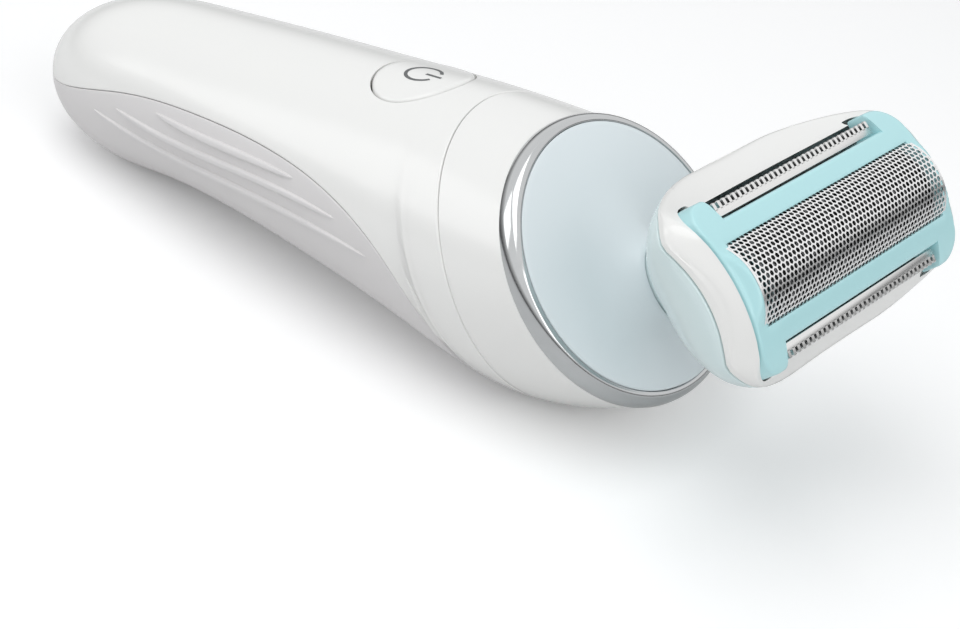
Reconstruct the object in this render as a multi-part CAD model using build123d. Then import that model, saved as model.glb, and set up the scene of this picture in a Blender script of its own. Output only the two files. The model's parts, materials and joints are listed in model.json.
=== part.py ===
"""Cordless lady shaver: an S-profile handle with a soft grip, and a pull-off foil head.

Three working frames, all in millimetres:
  handle frame  X runs from the tail tip to the head, Z is up, Z = 0 is the level of the power button.
  FACE frame    on the round end face of the handle, its Z out of the face.
  HEAD frame    on the shaving head: X across the handle, Y up, Z out of the foil.
The finished parts are turned so that the handle lies on its belly and its tail.
"""
import os
from math import atan2, cos, degrees, pi, radians, sin, sqrt

from build123d import *

# ---------------------------------------------------------------- handle sizes
WALL = 1.8                  # wall of the hard shells
GRIP_SKIN = 1.0             # soft layer moulded over the lower shell
RIB_HEIGHT = 0.5            # how far the grip ribs stand proud
RIB_HALF_WIDTH = 0.7
TAIL_HALF_WIDTH = 15.9
TAIL_HALF_HEIGHT = 14.2
TAIL_AXIS_Z = -14.5
TAIL_CAP_LENGTH = 26.2      # length over which the tail rounds off
TAIL_CAP_POWER = 2.2
TAIL_CAP_STATIONS = (0.05, 0.1, 0.2, 0.35, 0.55, 0.8)
INNER_TAIL_COUNT = 2      # the cavity starts at this station
# Side view of the handle: top edge (x, z), bottom edge (x, z), half width there.
HANDLE_STATIONS = (
    (32.0, -0.1, 32.0, -28.6, 16.4),
    (48.0, 0.0, 52.0, -30.0, 17.9),
    (64.0, 0.0, 72.5, -33.5, 19.5),
    (78.0, 0.0, 92.0, -38.0, 21.0),
    (92.5, -0.3, 112.0, -41.9, 22.3),
)
SHUT_LINE = 0.08            # gap along the joints of the mouldings
REST_FLAT = 0.3             # depth of the two small flats that stop the handle rolling

# Round end face, its bright bezel and the pale plate
FACE_X, FACE_Z = 119.1, -17.9
FACE_TILT = 33.7            # degrees the face looks up
BEZEL_DEPTH = 2.7
BEZEL_BACK = (22.4, 21.6)   # half width, half height where the bezel meets the collar
BEZEL_BEVEL = 1.3
BEZEL_LIP = 0.5
PLATE_CROWN = 0.6
PLATE_THICKNESS = 2.5

# Seam between the rear shells and the front collar, side view points
SEAM_TOP = (93.2, 0.0)
SEAM_MIDDLE = (104.0, -18.7)
SEAM_BOTTOM = (112.5, -41.5)
# Upper edge of the soft grip, side view points from the tail to the seam
GRIP_EDGE = ((-1.0, -14.8), (12.5, -13.4), (29.0, -10.5), (48.0, -9.4), (66.0, -10.4),
             (80.5, -13.6), (91.5, -19.6), (98.5, -27.5), (104.5, -37.0))
# Centre lines of the grip ribs on each side, side view points
GRIP_RIBS = (
    ((22.3, -14.7), (34.0, -16.9), (56.5, -18.0), (77.5, -19.1), (88.2, -20.2)),
    ((28.2, -13.1), (38.0, -14.5), (55.0, -15.0), (72.1, -15.5), (81.2, -16.3)),
    ((38.6, -11.4), (46.0, -12.0), (54.5, -12.3), (63.0, -12.5), (71.6, -12.9)),
)

# Power button
BUTTON_X = 80.5
BUTTON_HALF_X, BUTTON_HALF_Y = 7.0, 8.4
BUTTON_GAP = 0.3
BUTTON_PROUD = 0.2
BUTTON_TRAVEL = 0.6
BUTTON_FLANGE_Z = -5.6      # underside of the flange that works the switch
BUTTON_FLANGE = 0.8
BUTTON_FLANGE_MARGIN = 1.1

# ---------------------------------------------------------------- inner sizes
BATTERY_RADIUS, BATTERY_LENGTH = 7.0, 50.0
BATTERY_START_X = 16.6
BATTERY_Z = -17.3
CONTACT_THICKNESS = 0.4
MOTOR_RADIUS, MOTOR_LENGTH = 7.0, 20.0
MOTOR_ROOM = 5.0                # between the cell's contact and the motor
MOTOR_START_X = BATTERY_START_X + BATTERY_LENGTH + CONTACT_THICKNESS + MOTOR_ROOM
MOTOR_FLAT = 6.2                # half height across the can's flats
MOTOR_Z = -22.5
SHAFT_RADIUS = 1.0
RUNNING_GAP = 0.05
CRADLE_GAP = 0.15
CRADLE_WALL = 1.2
CHASSIS_TOP_Z = -9.4
CHASSIS_END_X = MOTOR_START_X + MOTOR_LENGTH + 2.5
BOARD_THICKNESS = 1.2
BOARD_HALF_WIDTH = 8.2
BOARD_START_X, BOARD_END_X = 24.0, 92.0
# Chips on the board: start along it, length, width, height
BOARD_CHIPS = ((12.0, 7.0, 7.0, 1.4), (26.0, 5.0, 4.0, 1.8), (39.0, 8.0, 5.0, 1.2))
SWITCH_SIDE, SWITCH_HEIGHT = 6.0, 1.2
PLUNGER_RADIUS = 1.75
SCREW_PLACES = ((31.0, 10.4), (86.0, 12.2))
TAB_RADIUS = 2.4
SCREW_RADIUS, SCREW_HEAD_RADIUS, SCREW_HEAD_HEIGHT = 1.0, 1.8, 1.3
BOSS_RADIUS = 2.2
SOCKET_BORE_RADIUS, SOCKET_BORE_LENGTH = 1.75, 9.5
SOCKET_RADIUS, SOCKET_LENGTH = 3.4, 11.5
SOCKET_TURN = 10.0              # degrees the socket's body is turned in the tail
SEAL_WIDTH = 1.2

# ---------------------------------------------------------------- head sizes
HEAD_X, HEAD_Z = 152.0, -4.6    # centre of the foil window
HEAD_TILT = 36.4                # degrees the foil looks up
HEAD_WALL = 1.6
# Outer form of the head: depth z, half length x, half width y, centre y, corner radii x and y
HEAD_STATIONS = (
    (1.4, 25.9, 12.8, 0.9, 8.0, 5.0),
    (-2.5, 26.7, 13.8, 0.9, 8.0, 5.0),
    (-7.0, 27.0, 14.5, 0.9, 9.5, 6.0),
    (-11.5, 25.2, 14.6, 0.9, 13.0, 8.5),
    (-16.5, 21.3, 13.6, 1.2, 15.0, 10.0),
    (-21.0, 16.6, 12.2, 1.8, 13.8, 10.4),
    (-25.0, 12.4, 10.9, 2.5, 11.8, 10.3),
    (-28.0, 9.6, 9.4, 3.0, 9.2, 9.0),
    (-30.5, 7.2, 7.2, 3.0, 6.9, 6.9),
)
EAR_CORNER = 3.2
RIM_SEAM = ((0.0, -2.4), (7.0, -3.1), (9.6, -4.4), (11.5, -5.4), (13.4, -7.2), (15.4, -10.8), (18.0, -16.0))
RIM_TONGUE_Z = -11.0            # how deep the rim reaches inside the base
ARCH_RADIUS, ARCH_CREST = 22.7, 0.65   # arched top of the rim and of the frame
SCOOP_RADIUS = 104.0            # long scoops beside the trimmers
SCOOP_START = (10.4, -5.4)      # y, z of the scoop at the head's middle, inner edge
SCOOP_SLOPE = 34.0
SCOOP_LENGTH = 12.0
FLOAT_TRAVEL = 1.2              # how far foil and trimmers sink into the head
FLOAT_GAP = 0.3

FOIL_RADIUS = 7.6
FOIL_HALF_CHORD = 5.3
FOIL_HALF_LENGTH = 22.0
FOIL_THICKNESS = 0.2
FOIL_WRAP = 74.0                # degrees the foil wraps each way
FRAME_HALF_LENGTH = 25.2
FRAME_HALF_WIDTH = 11.6
FRAME_FLOOR_Z = -5.4
RAIL_HALF_WIDTH = 8.45
NOTCH_HALF_LENGTH = 19.3
END_CREST = 0.15                # end walls stand this far over the foil

COMB_HALF_LENGTH = 18.6
NOTCH_MARGIN = 0.1              # comb's last tooth to the rim beside it
COMB_TOP_Z = -1.84              # inner edge of the guard comb
COMB_DROP = 0.3                 # fall of the comb from root to tips
COMB_TIP_Y, COMB_ROOT_Y = 10.8, 9.85
COMB_THICKNESS = 0.45
COMB_TEETH = 34
TOOTH_WIDTH = 0.62
BLADE_GAP = 0.1
BLADE_INNER_Y = 8.9
BLADE_TIP_Y = 10.65
BLADE_HALF_LENGTH = 17.4

CUTTER_STROKE = 1.0
CUTTER_GAP = 0.3                # lamella to foil
LAMELLA_COUNT = 20
LAMELLA_THICKNESS = 0.5
LAMELLA_DEPTH = 1.9
CUTTER_END_GAP = 0.8            # last lamella to the frame's end wall, at full stroke
CUTTER_HALF_LENGTH = FOIL_HALF_LENGTH - CUTTER_STROKE - CUTTER_END_GAP
CARRIER_HALF_LENGTH = 18.0
CARRIER_HALF_WIDTH = 5.1
CARRIER_FLOOR_Z = -9.5
WING_HALF_LENGTH = 15.5
WING_TOP_Z, WING_FLOOR_Z = -6.0, -8.0
DRIVE_SLOT_ROOF_Z = -6.0

# Neck, spigot and the drive through them
NECK_Y = 3.0                    # the neck axis lies this far above the head's middle
NECK_RADIUS = 7.0
SPIGOT_RADIUS = 6.5
SPIGOT_BORE = 4.5
SPIGOT_GAP = 0.3
SPIGOT_END_Z = -39.8
SOCKET_WALL = 1.6
SOCKET_FLOOR_Z = -41.2
SOCKET_FLOOR_HOLE = 3.4
FACE_GAP = 0.3

LEVER_AXIS_Z = -45.3            # pivot of the drive lever
LEVER_RADIUS = 2.0
LEVER_HUB_RADIUS = 3.0
LEVER_HUB_Y = (0.5, 5.5)
LEVER_ARM_END_Z = -15.0
LEVER_HALF_THICKNESS = 1.75
LEVER_PIN_RADIUS = 1.25
LUG_GAP = 0.3
LUG_THICKNESS = 2.4
LUG_HALF_WIDTH = 2.6
DRIVE_PIN_RADIUS = 1.2
DRIVE_PIN_TIP_Z = -7.6
DRIVE_PIN_ROOT_Z = -19.0
DRIVE_SLOT_GAP = 0.15
ELBOW_Z = (-53.0, -49.6)        # cross arm of the lever
FORK_HALF_SIZE = 3.2
FORK_LENGTH = 6.2
FORK_PRONG = 1.5
FORK_GAP = 0.34
ECCENTRIC_DISC_RADIUS, ECCENTRIC_DISC = 3.0, 1.8
ECCENTRIC_PIN_RADIUS, ECCENTRIC_PIN_LENGTH = 1.0, 4.6

SPRING_PLACE = (21.3, 7.2)
SPRING_RADIUS, SPRING_WIRE, SPRING_TURNS = 1.3, 0.18, 4
SHELF_TOP_Z = -9.5
SHELF_INNER_X = 19.6
WELL_END_X = 22.9
WELL_END_Y = 8.9
HEAD_SCREW_GAP = 0.15           # screw head to the well's end
BIG = 200.0                     # longer than anything here: for cutting blocks

# ---------------------------------------------------------------- frames
ACROSS = (0, 1, 0)


def tilted(x, z, tilt):
    """Plane whose Z looks forward and up by tilt degrees, with its X across the handle."""
    return Plane(origin=(x, 0, z), x_dir=ACROSS, z_dir=(cos(radians(tilt)), 0, sin(radians(tilt))))


FACE = tilted(FACE_X, FACE_Z, FACE_TILT)
HEAD = tilted(HEAD_X, HEAD_Z, HEAD_TILT)
SIDE = Plane(origin=(0, 0, 0), x_dir=(1, 0, 0), z_dir=(0, -1, 0))   # handle side view, X and Z
PROFILE = Plane(origin=(0, 0, 0), x_dir=(0, 1, 0), z_dir=(1, 0, 0))  # head section view, Y and Z


def block(x_low, x_high, y_low, y_high, z_low, z_high):
    """Box between two corners."""
    size = (x_high - x_low, y_high - y_low, z_high - z_low)
    middle = ((x_low + x_high) / 2, (y_low + y_high) / 2, (z_low + z_high) / 2)
    return Pos(*middle) * Box(*size)


def rod(radius, z_low, z_high, x=0.0, y=0.0):
    """Cylinder along Z between two levels."""
    return Pos(x, y, (z_low + z_high) / 2) * Cylinder(radius, z_high - z_low)


def rod_x(radius, x_low, x_high, y=0.0, z=0.0):
    """Cylinder along X between two stations."""
    return Pos((x_low + x_high) / 2, y, z) * Rot(0, 90, 0) * Cylinder(radius, x_high - x_low)


def rod_y(radius, y_low, y_high, x=0.0, z=0.0):
    """Cylinder along Y between two stations."""
    return Pos(x, (y_low + y_high) / 2, z) * Rot(90, 0, 0) * Cylinder(radius, y_high - y_low)


def across(face_in_side_view):
    """Extrude a side view face right through the handle."""
    return extrude(SIDE * face_in_side_view, BIG / 2, both=True)


# ---------------------------------------------------------------- handle form
def tail_stations():
    """Stations of the rounded tail, in the same form as HANDLE_STATIONS."""
    stations = []
    for station in TAIL_CAP_STATIONS:
        share = sqrt(1 - (1 - station) ** TAIL_CAP_POWER)
        x = station * TAIL_CAP_LENGTH
        rise = TAIL_HALF_HEIGHT * share
        stations.append((x, TAIL_AXIS_Z + rise, x, TAIL_AXIS_Z - rise, TAIL_HALF_WIDTH * share))
    return stations


def station_face(station, inset):
    """Elliptical section through a top and a bottom point, made smaller by inset."""
    x_top, z_top, x_bottom, z_bottom, half_width = station
    centre = ((x_top + x_bottom) / 2, 0, (z_top + z_bottom) / 2)
    rise_x, rise_z = (x_top - x_bottom) / 2, (z_top - z_bottom) / 2
    half_height = sqrt(rise_x ** 2 + rise_z ** 2)
    plane = Plane(origin=centre, x_dir=ACROSS, z_dir=(rise_z, 0, -rise_x))
    return plane * Ellipse(half_width - inset, half_height - inset)


def handle_form(inset, first_station=0):
    """Solid form of the handle behind the bezel, made smaller by inset."""
    stations = tail_stations()[first_station:] + list(HANDLE_STATIONS)
    faces = [station_face(station, inset) for station in stations]
    faces.append(FACE * Pos(0, 0, -BEZEL_DEPTH) * Ellipse(BEZEL_BACK[0] - inset, BEZEL_BACK[1] - inset))
    return loft(faces)


def rest_angle():
    """Angle between the handle's axis and a table it lies on, touching belly and tail."""
    form = handle_form(0)
    rear_block = block(-BIG, HANDLE_STATIONS[1][0], -BIG, BIG, -BIG, BIG)
    rear = form & rear_block
    front = form - rear_block
    shallow, steep = 6.0, 11.0
    for _ in range(12):
        angle = (shallow + steep) / 2
        turn = Rot(0, -angle, 0)
        if (turn * front).bounding_box().min.Z < (turn * rear).bounding_box().min.Z:
            shallow = angle
        else:
            steep = angle
    return (shallow + steep) / 2


REST_TILT = rest_angle()
TAIL_FACE_X = TAIL_CAP_STATIONS[0] * TAIL_CAP_LENGTH


def under_table(form):
    """Block below the table that the form lies on, raised by REST_FLAT into the form."""
    lying = Rot(0, -REST_TILT, 0) * form
    table_z = lying.bounding_box().min.Z + REST_FLAT
    return Rot(0, REST_TILT, 0) * block(-BIG, BIG * 2, -BIG, BIG, table_z - BIG, table_z)


def region_in_front_of_seam():
    """Everything in front of the curved collar seam."""
    seam = ThreePointArc(SEAM_TOP, SEAM_MIDDLE, SEAM_BOTTOM)
    rear = seam @ 0
    low = seam @ 1
    outline = seam + Polyline((low.X, low.Y), (low.X + 4, -BIG / 2), (BIG, -BIG / 2), (BIG, BIG / 4),
                              (rear.X - 3, BIG / 4), (rear.X, rear.Y))
    return across(make_face(outline))


def region_below_grip_edge():
    """Everything below the upper edge of the soft grip."""
    edge = Spline(*GRIP_EDGE)
    outline = edge + Polyline(GRIP_EDGE[-1], (GRIP_EDGE[-1][0] + 6, -BIG / 2), (-BIG / 4, -BIG / 2),
                              (-BIG / 4, GRIP_EDGE[0][1]), GRIP_EDGE[0])
    return across(make_face(outline))


def rib_blade(points):
    """A long blade with tapered ends along a rib's centre line, right through the handle."""
    upper = [points[0]] + [(x, z + RIB_HALF_WIDTH) for x, z in points[1:-1]] + [points[-1]]
    lower = [points[0]] + [(x, z - RIB_HALF_WIDTH) for x, z in points[1:-1]] + [points[-1]]
    return across(make_face(Spline(*upper) + Spline(*lower)))


def make_shells(nodes):
    """Upper shell, lower shell, soft grip and front collar."""
    full = handle_form(0)
    table = under_table(full)
    outer = full - table
    middle = handle_form(GRIP_SKIN) - table
    core = handle_form(GRIP_SKIN + SHUT_LINE) - table
    inner = handle_form(WALL, INNER_TAIL_COUNT)
    front = region_in_front_of_seam()
    below = region_below_grip_edge()
    lower = Pos(-SHUT_LINE, 0, -SHUT_LINE) * below
    jack = rod_x(SOCKET_RADIUS, -1, BIG / 10, z=TAIL_AXIS_Z)
    nodes["front_collar"] = (outer & (Pos(SHUT_LINE, 0, 0) * front)) - inner
    rear = outer - front
    nodes["upper_shell"] = make_upper_shell(rear - below - inner - jack, inner)
    nodes["lower_shell"] = ((core - front) & lower) - inner - jack
    grip = (rear & lower) - middle - jack
    proud = handle_form(-RIB_HEIGHT)
    for points in GRIP_RIBS:
        grip = grip + ((rib_blade(points) & proud) - middle)
    nodes["grip_cover"] = grip
    return inner


def make_upper_shell(shell, inner):
    """Cut the button opening and add the four screw bosses."""
    opening = Pos(BUTTON_X, 0, 0) * extrude(
        Ellipse(BUTTON_HALF_X + BUTTON_GAP, BUTTON_HALF_Y + BUTTON_GAP), WALL * 3, both=True)
    shell = shell - opening
    for x, y in SCREW_PLACES:
        for side in (-1, 1):
            boss = rod(BOSS_RADIUS, CHASSIS_TOP_Z, 0, x, side * y) & inner
            pilot = rod(SCREW_RADIUS, CHASSIS_TOP_Z - 1, CHASSIS_TOP_Z + 3.6, x, side * y)
            shell = shell + boss - pilot
    return shell


def make_power_button(nodes):
    """Oval button that follows the handle's skin, on a core and a flange."""
    skin = handle_form(-BUTTON_PROUD) - handle_form(WALL)
    oval = Pos(BUTTON_X, 0, -WALL) * extrude(Ellipse(BUTTON_HALF_X, BUTTON_HALF_Y), WALL * 3, both=True)
    cap = skin & oval
    core = Pos(BUTTON_X, 0, BUTTON_FLANGE_Z) * extrude(
        Ellipse(BUTTON_HALF_X - 1.6, BUTTON_HALF_Y - 1.6), -BUTTON_FLANGE_Z - WALL * 0.6)
    core = core & handle_form(WALL * 0.6)
    flange = Pos(BUTTON_X, 0, BUTTON_FLANGE_Z) * extrude(
        Ellipse(BUTTON_HALF_X + BUTTON_FLANGE_MARGIN, BUTTON_HALF_Y + BUTTON_FLANGE_MARGIN), BUTTON_FLANGE)
    nodes["power_button"] = cap + core + flange


# ---------------------------------------------------------------- end face
def face_oval(half_width, half_height, z_low, z_high):
    """Oval disc on the end face, between two levels of the FACE frame."""
    return Pos(0, 0, z_low) * extrude(Ellipse(half_width, half_height), z_high - z_low)


def make_end_face(nodes):
    """Bright bezel and the pale plate with the socket for the head."""
    back_x, back_y = BEZEL_BACK
    bezel = loft([Pos(0, 0, -BEZEL_DEPTH) * Ellipse(back_x, back_y),
                  Ellipse(back_x - BEZEL_BEVEL, back_y - BEZEL_BEVEL)])
    plate_x = back_x - BEZEL_BEVEL - BEZEL_LIP
    plate_y = back_y - BEZEL_BEVEL - BEZEL_LIP
    bezel = bezel - face_oval(plate_x, plate_y, -BEZEL_DEPTH - 1, 1)
    nodes["chrome_bezel"] = FACE * bezel
    crown_radius = (plate_x ** 2 + PLATE_CROWN ** 2) / (2 * PLATE_CROWN)
    crown = Pos(0, 0, PLATE_CROWN - crown_radius) * Sphere(crown_radius)
    plate = face_oval(plate_x - SHUT_LINE, plate_y - SHUT_LINE, -PLATE_THICKNESS, PLATE_CROWN)
    plate = FACE * (plate & crown)
    socket_radius = SPIGOT_RADIUS + SPIGOT_GAP + SOCKET_WALL
    below_plate = FACE * block(-BIG, BIG, -BIG, BIG, -BIG, -PLATE_THICKNESS / 2)
    tube = HEAD * rod(socket_radius, SOCKET_FLOOR_Z - SOCKET_WALL, SOCKET_FLOOR_Z + BIG / 10, y=NECK_Y)
    plate = plate + (tube & below_plate)
    plate = plate - HEAD * rod(SPIGOT_RADIUS + SPIGOT_GAP, SOCKET_FLOOR_Z, 0, y=NECK_Y)
    plate = plate - HEAD * rod(SOCKET_FLOOR_HOLE, SOCKET_FLOOR_Z - BIG / 10, 0, y=NECK_Y)
    hub_low, hub_high = LEVER_HUB_Y
    lug_top = SOCKET_FLOOR_Z - SOCKET_WALL
    lug_end = LEVER_AXIS_Z - LEVER_PIN_RADIUS - 1.2
    lugs = [(hub_low - LUG_GAP - LUG_THICKNESS, hub_low - LUG_GAP),
            (hub_high + LUG_GAP, hub_high + LUG_GAP + LUG_THICKNESS)]
    pin = rod_y(LEVER_PIN_RADIUS, lugs[0][0], lugs[1][1], z=LEVER_AXIS_Z)
    for low, high in lugs:
        lug = block(-LUG_HALF_WIDTH, LUG_HALF_WIDTH, low, high, lug_end, lug_top + 0.6)
        plate = plate + HEAD * (lug - pin)
    nodes["face_plate"] = plate - HEAD * rod(SPIGOT_BORE, SOCKET_FLOOR_Z, SOCKET_FLOOR_Z + 1, y=NECK_Y)
    nodes["lever_pin"] = HEAD * pin
    seal = rod(SPIGOT_BORE - 0.3, SOCKET_FLOOR_Z, SOCKET_FLOOR_Z + 1.2, y=NECK_Y)
    nodes["drive_seal"] = HEAD * (seal - rod(LEVER_RADIUS + FLOAT_GAP, -BIG, 0, y=NECK_Y))


# ---------------------------------------------------------------- inside the handle
def make_battery(nodes):
    """Rechargeable cell with its cap, and a contact plate at each end."""
    end_x = BATTERY_START_X + BATTERY_LENGTH
    cell = rod_x(BATTERY_RADIUS, BATTERY_START_X, end_x - 1.2, z=BATTERY_Z)
    nodes["battery_cell"] = cell + rod_x(BATTERY_RADIUS * 0.4, end_x - 1.2, end_x, z=BATTERY_Z)
    plates = []
    for x in (BATTERY_START_X - CONTACT_THICKNESS, end_x):
        plates.append(block(x, x + CONTACT_THICKNESS, -3.5, 3.5, BATTERY_Z - 4, BATTERY_Z + 4))
    nodes["battery_contacts"] = Compound(children=plates)


def make_chassis(nodes):
    """Tray that holds the cell and the motor and carries the circuit board."""
    reach = BATTERY_RADIUS + CRADLE_GAP + CRADLE_WALL
    start_x = BATTERY_START_X - CONTACT_THICKNESS - CRADLE_WALL
    cell_end_x = BATTERY_START_X + BATTERY_LENGTH + CONTACT_THICKNESS
    trough = rod_x(reach, start_x, cell_end_x + CRADLE_WALL, z=BATTERY_Z)
    trough = trough + block(start_x, CHASSIS_END_X, -reach, reach, BATTERY_Z, CHASSIS_TOP_Z)
    cradle = rod_x(reach, MOTOR_START_X - CRADLE_WALL, CHASSIS_END_X, z=MOTOR_Z)
    cradle = cradle + block(MOTOR_START_X - CRADLE_WALL, CHASSIS_END_X, -reach, reach, MOTOR_Z, BATTERY_Z)
    tray = trough + cradle
    for x, y in SCREW_PLACES:
        under = CHASSIS_TOP_Z - CRADLE_WALL
        tab = block(x - TAB_RADIUS, x + TAB_RADIUS, -y, y, under, CHASSIS_TOP_Z)
        for side in (-1, 1):
            tab = tab + rod(TAB_RADIUS, under, CHASSIS_TOP_Z, x, side * y)
        tray = tray + tab
    inside = reach - CRADLE_WALL
    top = CHASSIS_TOP_Z + 1
    cell_start_x = start_x + CRADLE_WALL
    tray = tray - rod_x(inside, cell_start_x, cell_end_x, z=BATTERY_Z)
    tray = tray - block(cell_start_x, cell_end_x, -inside, inside, BATTERY_Z, top)
    tray = tray - rod_x(inside, MOTOR_START_X, CHASSIS_END_X + 1, z=MOTOR_Z)
    tray = tray - block(MOTOR_START_X, CHASSIS_END_X + 1, -inside, inside, MOTOR_Z, top)
    for x, y in SCREW_PLACES:
        for side in (-1, 1):
            tray = tray - rod(SCREW_RADIUS, -BIG, 0, x, side * y)
    nodes["chassis"] = tray - block(-BIG, BIG, -BIG, BIG, CHASSIS_TOP_Z, BIG)
    screws = []
    under = CHASSIS_TOP_Z - CRADLE_WALL
    for x, y in SCREW_PLACES:
        for side in (-1, 1):
            shank = rod(SCREW_RADIUS, under, CHASSIS_TOP_Z + 3.2, x, side * y)
            screws.append(shank + rod(SCREW_HEAD_RADIUS, under - SCREW_HEAD_HEIGHT, under, x, side * y))
    nodes["chassis_screws"] = Compound(children=screws)


def make_electronics(nodes):
    """Circuit board on the chassis and the push switch under the button."""
    top = CHASSIS_TOP_Z + BOARD_THICKNESS
    board = block(BOARD_START_X, BOARD_END_X, -BOARD_HALF_WIDTH, BOARD_HALF_WIDTH, CHASSIS_TOP_Z, top)
    for start, length, width, height in BOARD_CHIPS:
        x = BOARD_START_X + start
        board = board + block(x, x + length, -width / 2, width / 2, top, top + height)
    nodes["circuit_board"] = board
    half = SWITCH_SIDE / 2
    body = block(BUTTON_X - half, BUTTON_X + half, -half, half, top, top + SWITCH_HEIGHT)
    plunger_top = BUTTON_FLANGE_Z - BUTTON_TRAVEL - 0.1
    nodes["power_switch"] = body + rod(PLUNGER_RADIUS, top, plunger_top, BUTTON_X)


def make_charging_socket(nodes):
    """Round jack socket in the tail and the seal ring behind the wall."""
    face_x = TAIL_FACE_X
    body = rod_x(SOCKET_RADIUS, 0, SOCKET_LENGTH) - rod_x(SOCKET_BORE_RADIUS, -1, SOCKET_BORE_LENGTH)
    nodes["charging_socket"] = Pos(face_x, 0, TAIL_AXIS_Z) * Rot(SOCKET_TURN, 0, 0) * body
    start_x = TAIL_CAP_STATIONS[INNER_TAIL_COUNT] * TAIL_CAP_LENGTH
    ring = rod_x(SOCKET_RADIUS + SEAL_WIDTH, start_x, start_x + SEAL_WIDTH, z=TAIL_AXIS_Z)
    nodes["socket_seal"] = ring - rod_x(SOCKET_RADIUS, 0, BIG / 4, z=TAIL_AXIS_Z)


def make_motor(nodes):
    """Motor can, its shaft and the eccentric that swings the lever."""
    end_x = MOTOR_START_X + MOTOR_LENGTH
    can = rod_x(MOTOR_RADIUS, MOTOR_START_X, end_x, z=MOTOR_Z)
    can = can & block(MOTOR_START_X, end_x, -MOTOR_RADIUS, MOTOR_RADIUS, MOTOR_Z - MOTOR_FLAT, MOTOR_Z + MOTOR_FLAT)
    can = can + rod_x(2.6, end_x, end_x + 1.0, z=MOTOR_Z)
    nodes["motor_can"] = can - rod_x(SHAFT_RADIUS + RUNNING_GAP, MOTOR_START_X + 2, BIG, z=MOTOR_Z)
    disc_x = end_x + 1.0 + FLOAT_GAP
    pin_x = disc_x + ECCENTRIC_DISC
    shaft = rod_x(SHAFT_RADIUS, MOTOR_START_X + 2 + FLOAT_GAP, disc_x + ECCENTRIC_DISC / 2, z=MOTOR_Z)
    disc = rod_x(ECCENTRIC_DISC_RADIUS, disc_x, pin_x, z=MOTOR_Z) - shaft
    pin = rod_x(ECCENTRIC_PIN_RADIUS, pin_x, pin_x + ECCENTRIC_PIN_LENGTH, y=ECCENTRICITY, z=MOTOR_Z)
    nodes["motor_shaft"] = shaft
    nodes["eccentric_cam"] = disc + pin


# ---------------------------------------------------------------- drive lever
LEVER_REACH = -LEVER_AXIS_Z + (DRIVE_PIN_TIP_Z + CARRIER_FLOOR_Z) / 2   # pivot to the drive slot
LEVER_SWING = degrees(CUTTER_STROKE / LEVER_REACH)
FORK_X = MOTOR_START_X + MOTOR_LENGTH + 1.0 + FLOAT_GAP + ECCENTRIC_DISC + 2.4
FORK_ARM = LEVER_AXIS_Z - ((FORK_X - HEAD_X) * cos(radians(HEAD_TILT))
                           + (MOTOR_Z - HEAD_Z) * sin(radians(HEAD_TILT)))
ECCENTRICITY = CUTTER_STROKE * FORK_ARM / LEVER_REACH


def make_drive_lever(nodes):
    """Rocker that carries the motor's swing through the neck to the cutter."""
    hub_low, hub_high = LEVER_HUB_Y
    hub = rod_y(LEVER_HUB_RADIUS, hub_low, hub_high, z=LEVER_AXIS_Z)
    arm = rod(LEVER_RADIUS, LEVER_AXIS_Z, LEVER_ARM_END_Z, y=NECK_Y)
    thick = LEVER_HALF_THICKNESS
    knee = block(-thick, thick, hub_low, hub_high, ELBOW_Z[0], LEVER_AXIS_Z)
    fork_y = -(FORK_X - HEAD_X) * sin(radians(HEAD_TILT)) + (MOTOR_Z - HEAD_Z) * cos(radians(HEAD_TILT))
    cross = block(-thick, thick, hub_low, fork_y, ELBOW_Z[0], ELBOW_Z[1])
    lever = HEAD * (hub + arm + knee + cross)
    slot_half = ECCENTRIC_PIN_RADIUS + ECCENTRICITY * 2 + FORK_GAP
    outer_half = slot_half + FORK_PRONG
    fork_start = FORK_X - 2.0
    fork = block(fork_start, fork_start + FORK_LENGTH, -outer_half, outer_half,
                 MOTOR_Z - FORK_HALF_SIZE, MOTOR_Z + FORK_HALF_SIZE)
    slot_end = FORK_X - 2.4 + ECCENTRIC_PIN_LENGTH + FLOAT_GAP
    lever = lever + fork
    lever = lever - block(fork_start - 5, slot_end, -slot_half, slot_half, MOTOR_Z - 6, MOTOR_Z + 6)
    bore = rod_y(LEVER_PIN_RADIUS + RUNNING_GAP, hub_low - 1, hub_high + 1, z=LEVER_AXIS_Z)
    pin = rod(DRIVE_PIN_RADIUS, DRIVE_PIN_ROOT_Z, DRIVE_PIN_TIP_Z, y=NECK_Y)
    nodes["drive_lever"] = lever - HEAD * bore - HEAD * pin
    nodes["drive_pin"] = HEAD * pin


# ---------------------------------------------------------------- head housing
def rounded_section(half_x, half_y, centre_y, corner_x, corner_y):
    """Rectangle with quarter ellipses for corners."""
    arcs = []
    for side_x, side_y, start in ((1, 1, 0), (-1, 1, 90), (-1, -1, 180), (1, -1, 270)):
        middle = (side_x * (half_x - corner_x), centre_y + side_y * (half_y - corner_y))
        arcs.append(EllipticalCenterArc(middle, corner_x, corner_y, start, arc_size=90))
    outline = Curve()
    for arc, next_arc in zip(arcs, arcs[1:] + arcs[:1]):
        outline = outline + arc + Line(arc @ 1, next_arc @ 0)
    return make_face(outline)


def head_form(inset):
    """Solid outer form of the head, made smaller by inset."""
    faces = []
    for z, half_x, half_y, centre_y, corner_x, corner_y in HEAD_STATIONS:
        section = rounded_section(half_x - inset, half_y - inset, centre_y, corner_x - inset, corner_y - inset)
        faces.append(Pos(0, 0, z) * section)
    return loft(faces)


def along_head(face_in_profile):
    """Extrude a section view face right along the head."""
    return extrude(PROFILE * face_in_profile, BIG / 2, both=True)


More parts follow.
